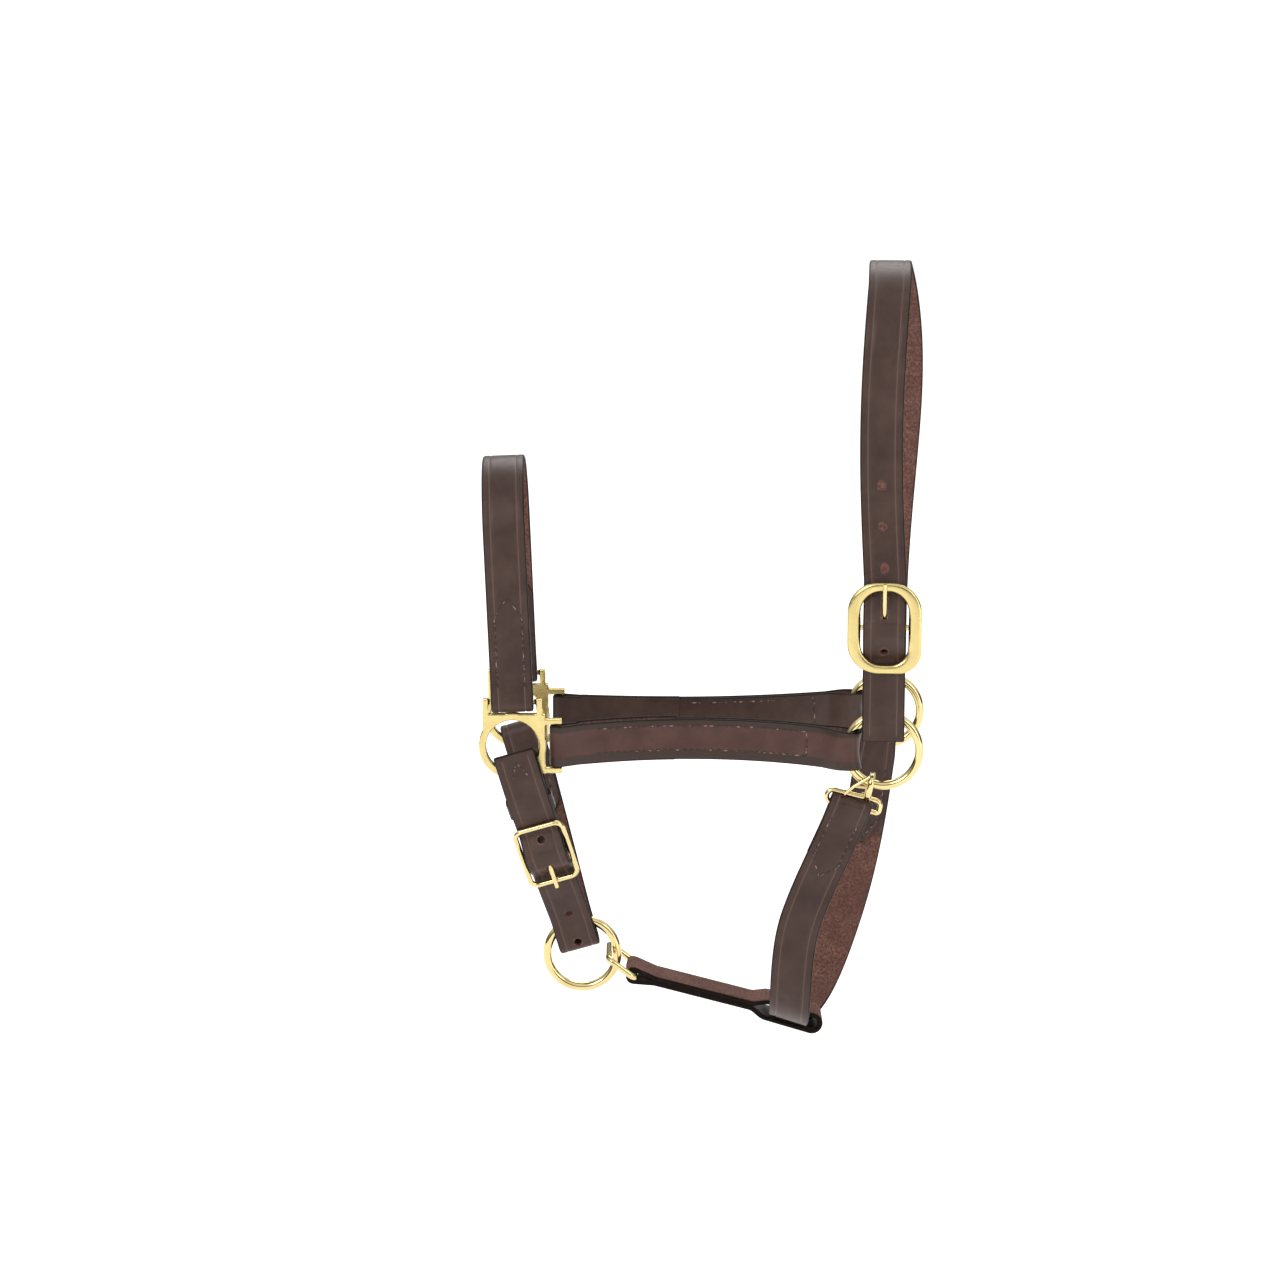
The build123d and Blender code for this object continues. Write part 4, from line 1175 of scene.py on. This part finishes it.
def make_snap():
    """Strap loop, two slanting arms joined by a crossbar, and a hook that goes over the ring."""
    seat = snap_frame @ shift(0, -RING_Y, 0)
    loop = box_path(16.4, 3.8, 3.6)
    metal(tube("snap_loop", seat @ shift(0, 0, SNAP_BAR_Z + 3.8), loop, 1.5, POLISHED),
          "throat", "snap_hook_body", slot="cast_brass")
    hook = rounded([(-0.4, -32.0), (-5.6, -27.5), (-5.4, -17.0), (6.2, -17.0), (6.2, -20.5)],
                   [6, 5, 5])
    length = run_length(hook)

    def hook_radius(s):
        return (2.1 - 0.75 * s / length) * blunted(s, length, 0.3, 1.6)

    metal(tube("snap_hook", seat @ shift(7.4, 0, 0), hook, hook_radius, POLISHED, "yz",
               closed=False, power=2.4), "throat", slot="cast_brass")
    brace = shift(0, -3.4, 0)
    for name, line, radius in (
            ("snap_brace", [(-6.4, -31.8), (-2.0, -25.6), (6.0, -17.6)], 1.05),
            ("snap_crossbar", [(-2.0, -25.4), (2.6, -24.9), (7.2, -24.2)], 1.0),
            ("snap_foot", [(-7.0, -31.4), (1.0, -31.5), (9.0, -31.2)], 1.7)):
        arm = tube(name, seat @ (brace if radius < 1.5 else shift(0, -0.4, 0)),
                   filled(np.array(line)), radius, POLISHED, closed=False)
        metal(arm, "throat", slot="cast_brass")


def make_hardware():
    for name, side in (("near", -1), ("far", 1)):
        make_ring(name + "_ring_wire", ring_frame @ shift(0, side * RING_Y, 0), name + "_ring",
                  name + "_cheek_ring")
        square = cast_copy(name + "_square_casting", name + "_square", SATIN)
        metal(square, "head_frame", name + "_square", slot="cast_brass")
    make_snap()
    metal(cast_copy("snap_leaf", "snap_gate", POLISHED, voxel=0.12, rounds=3), "gate",
          "snap_gate")
    metal(cast_copy("snap_rivet", "snap_gate_pin", POLISHED, voxel=0.1, rounds=3), "throat",
          "snap_gate_pin")


# ---------------------------------------------------------------- studio
def soft_light(name, place, target, size, power):
    light = bpy.data.lights.new(name, "AREA")
    light.shape = "RECTANGLE"
    light.size, light.size_y = size
    light.energy = power
    lamp = bpy.data.objects.new(name, light)
    bpy.context.scene.collection.objects.link(lamp)
    lamp.location = place
    aim = np.array(target) - np.array(place)
    lamp.rotation_euler = Vector(aim).to_track_quat("-Z", "Y").to_euler()
    return lamp


def studio():
    """Pale floor, pale surroundings, three soft lights, and the camera."""
    floor_z = -0.395
    mesh = bpy.data.meshes.new("floor")
    mesh.from_pydata([(-30, -30, floor_z), (30, -30, floor_z), (30, 30, floor_z),
                      (-30, 30, floor_z)], [], [(0, 1, 2, 3)])
    floor = bpy.data.objects.new("floor", mesh)
    bpy.context.scene.collection.objects.link(floor)
    paint, tree, shader, where = material("floor_paint")
    shader.inputs["Base Color"].default_value = (0.93, 0.93, 0.93, 1)
    shader.inputs["Emission Color"].default_value = (1, 1, 1, 1)
    shader.inputs["Emission Strength"].default_value = 0.28
    shader.inputs["Roughness"].default_value = 0.9
    shader.inputs["Specular IOR Level"].default_value = 0.1
    mesh.materials.append(paint)

    world = bpy.data.worlds.new("studio_air")
    world.use_nodes = True
    air = world.node_tree
    look = air.nodes.new("ShaderNodeTexCoord").outputs["Generated"]
    up = node(air, "SeparateXYZ", {"Vector": look}).outputs["Z"]
    high = node(air, "MapRange", {"Value": up, "From Min": 0.12, "From Max": 0.62,
                                  "To Min": 0.16, "To Max": 1.1}, interpolation_type="SMOOTHSTEP")
    air.links.new(high.outputs["Result"], air.nodes["Background"].inputs["Strength"])
    air.nodes["Background"].inputs["Color"].default_value = (1.0, 0.99, 0.98, 1)
    bpy.context.scene.world = world
    soft_light("key_light", (-1.0, -1.9, 1.1), (0.1, 0, -0.1), (1.0, 1.0), 21)
    soft_light("fill_light", (1.7, -1.3, 0.4), (0.1, 0, -0.1), (0.6, 1.6), 9)
    soft_light("back_light", (0.3, 1.6, 1.4), (0.1, 0, -0.1), (1.6, 0.8), 15)
    bpy.context.scene.view_settings.view_transform = "Standard"

    camera = bpy.data.cameras.new("camera")
    camera.sensor_width = 36
    camera.lens = 101.2
    eye = bpy.data.objects.new("camera", camera)
    bpy.context.scene.collection.objects.link(eye)
    eye.location = (0.0826, -2.1549, 0.3478)
    eye.rotation_euler = (math.radians(78), 0, 0)
    bpy.context.scene.camera = eye


make_noseband()
make_cheek("near", -1)
make_cheek("far", 1)
make_crown()
make_throat()
make_chin()
make_back()
make_hardware()
studio()
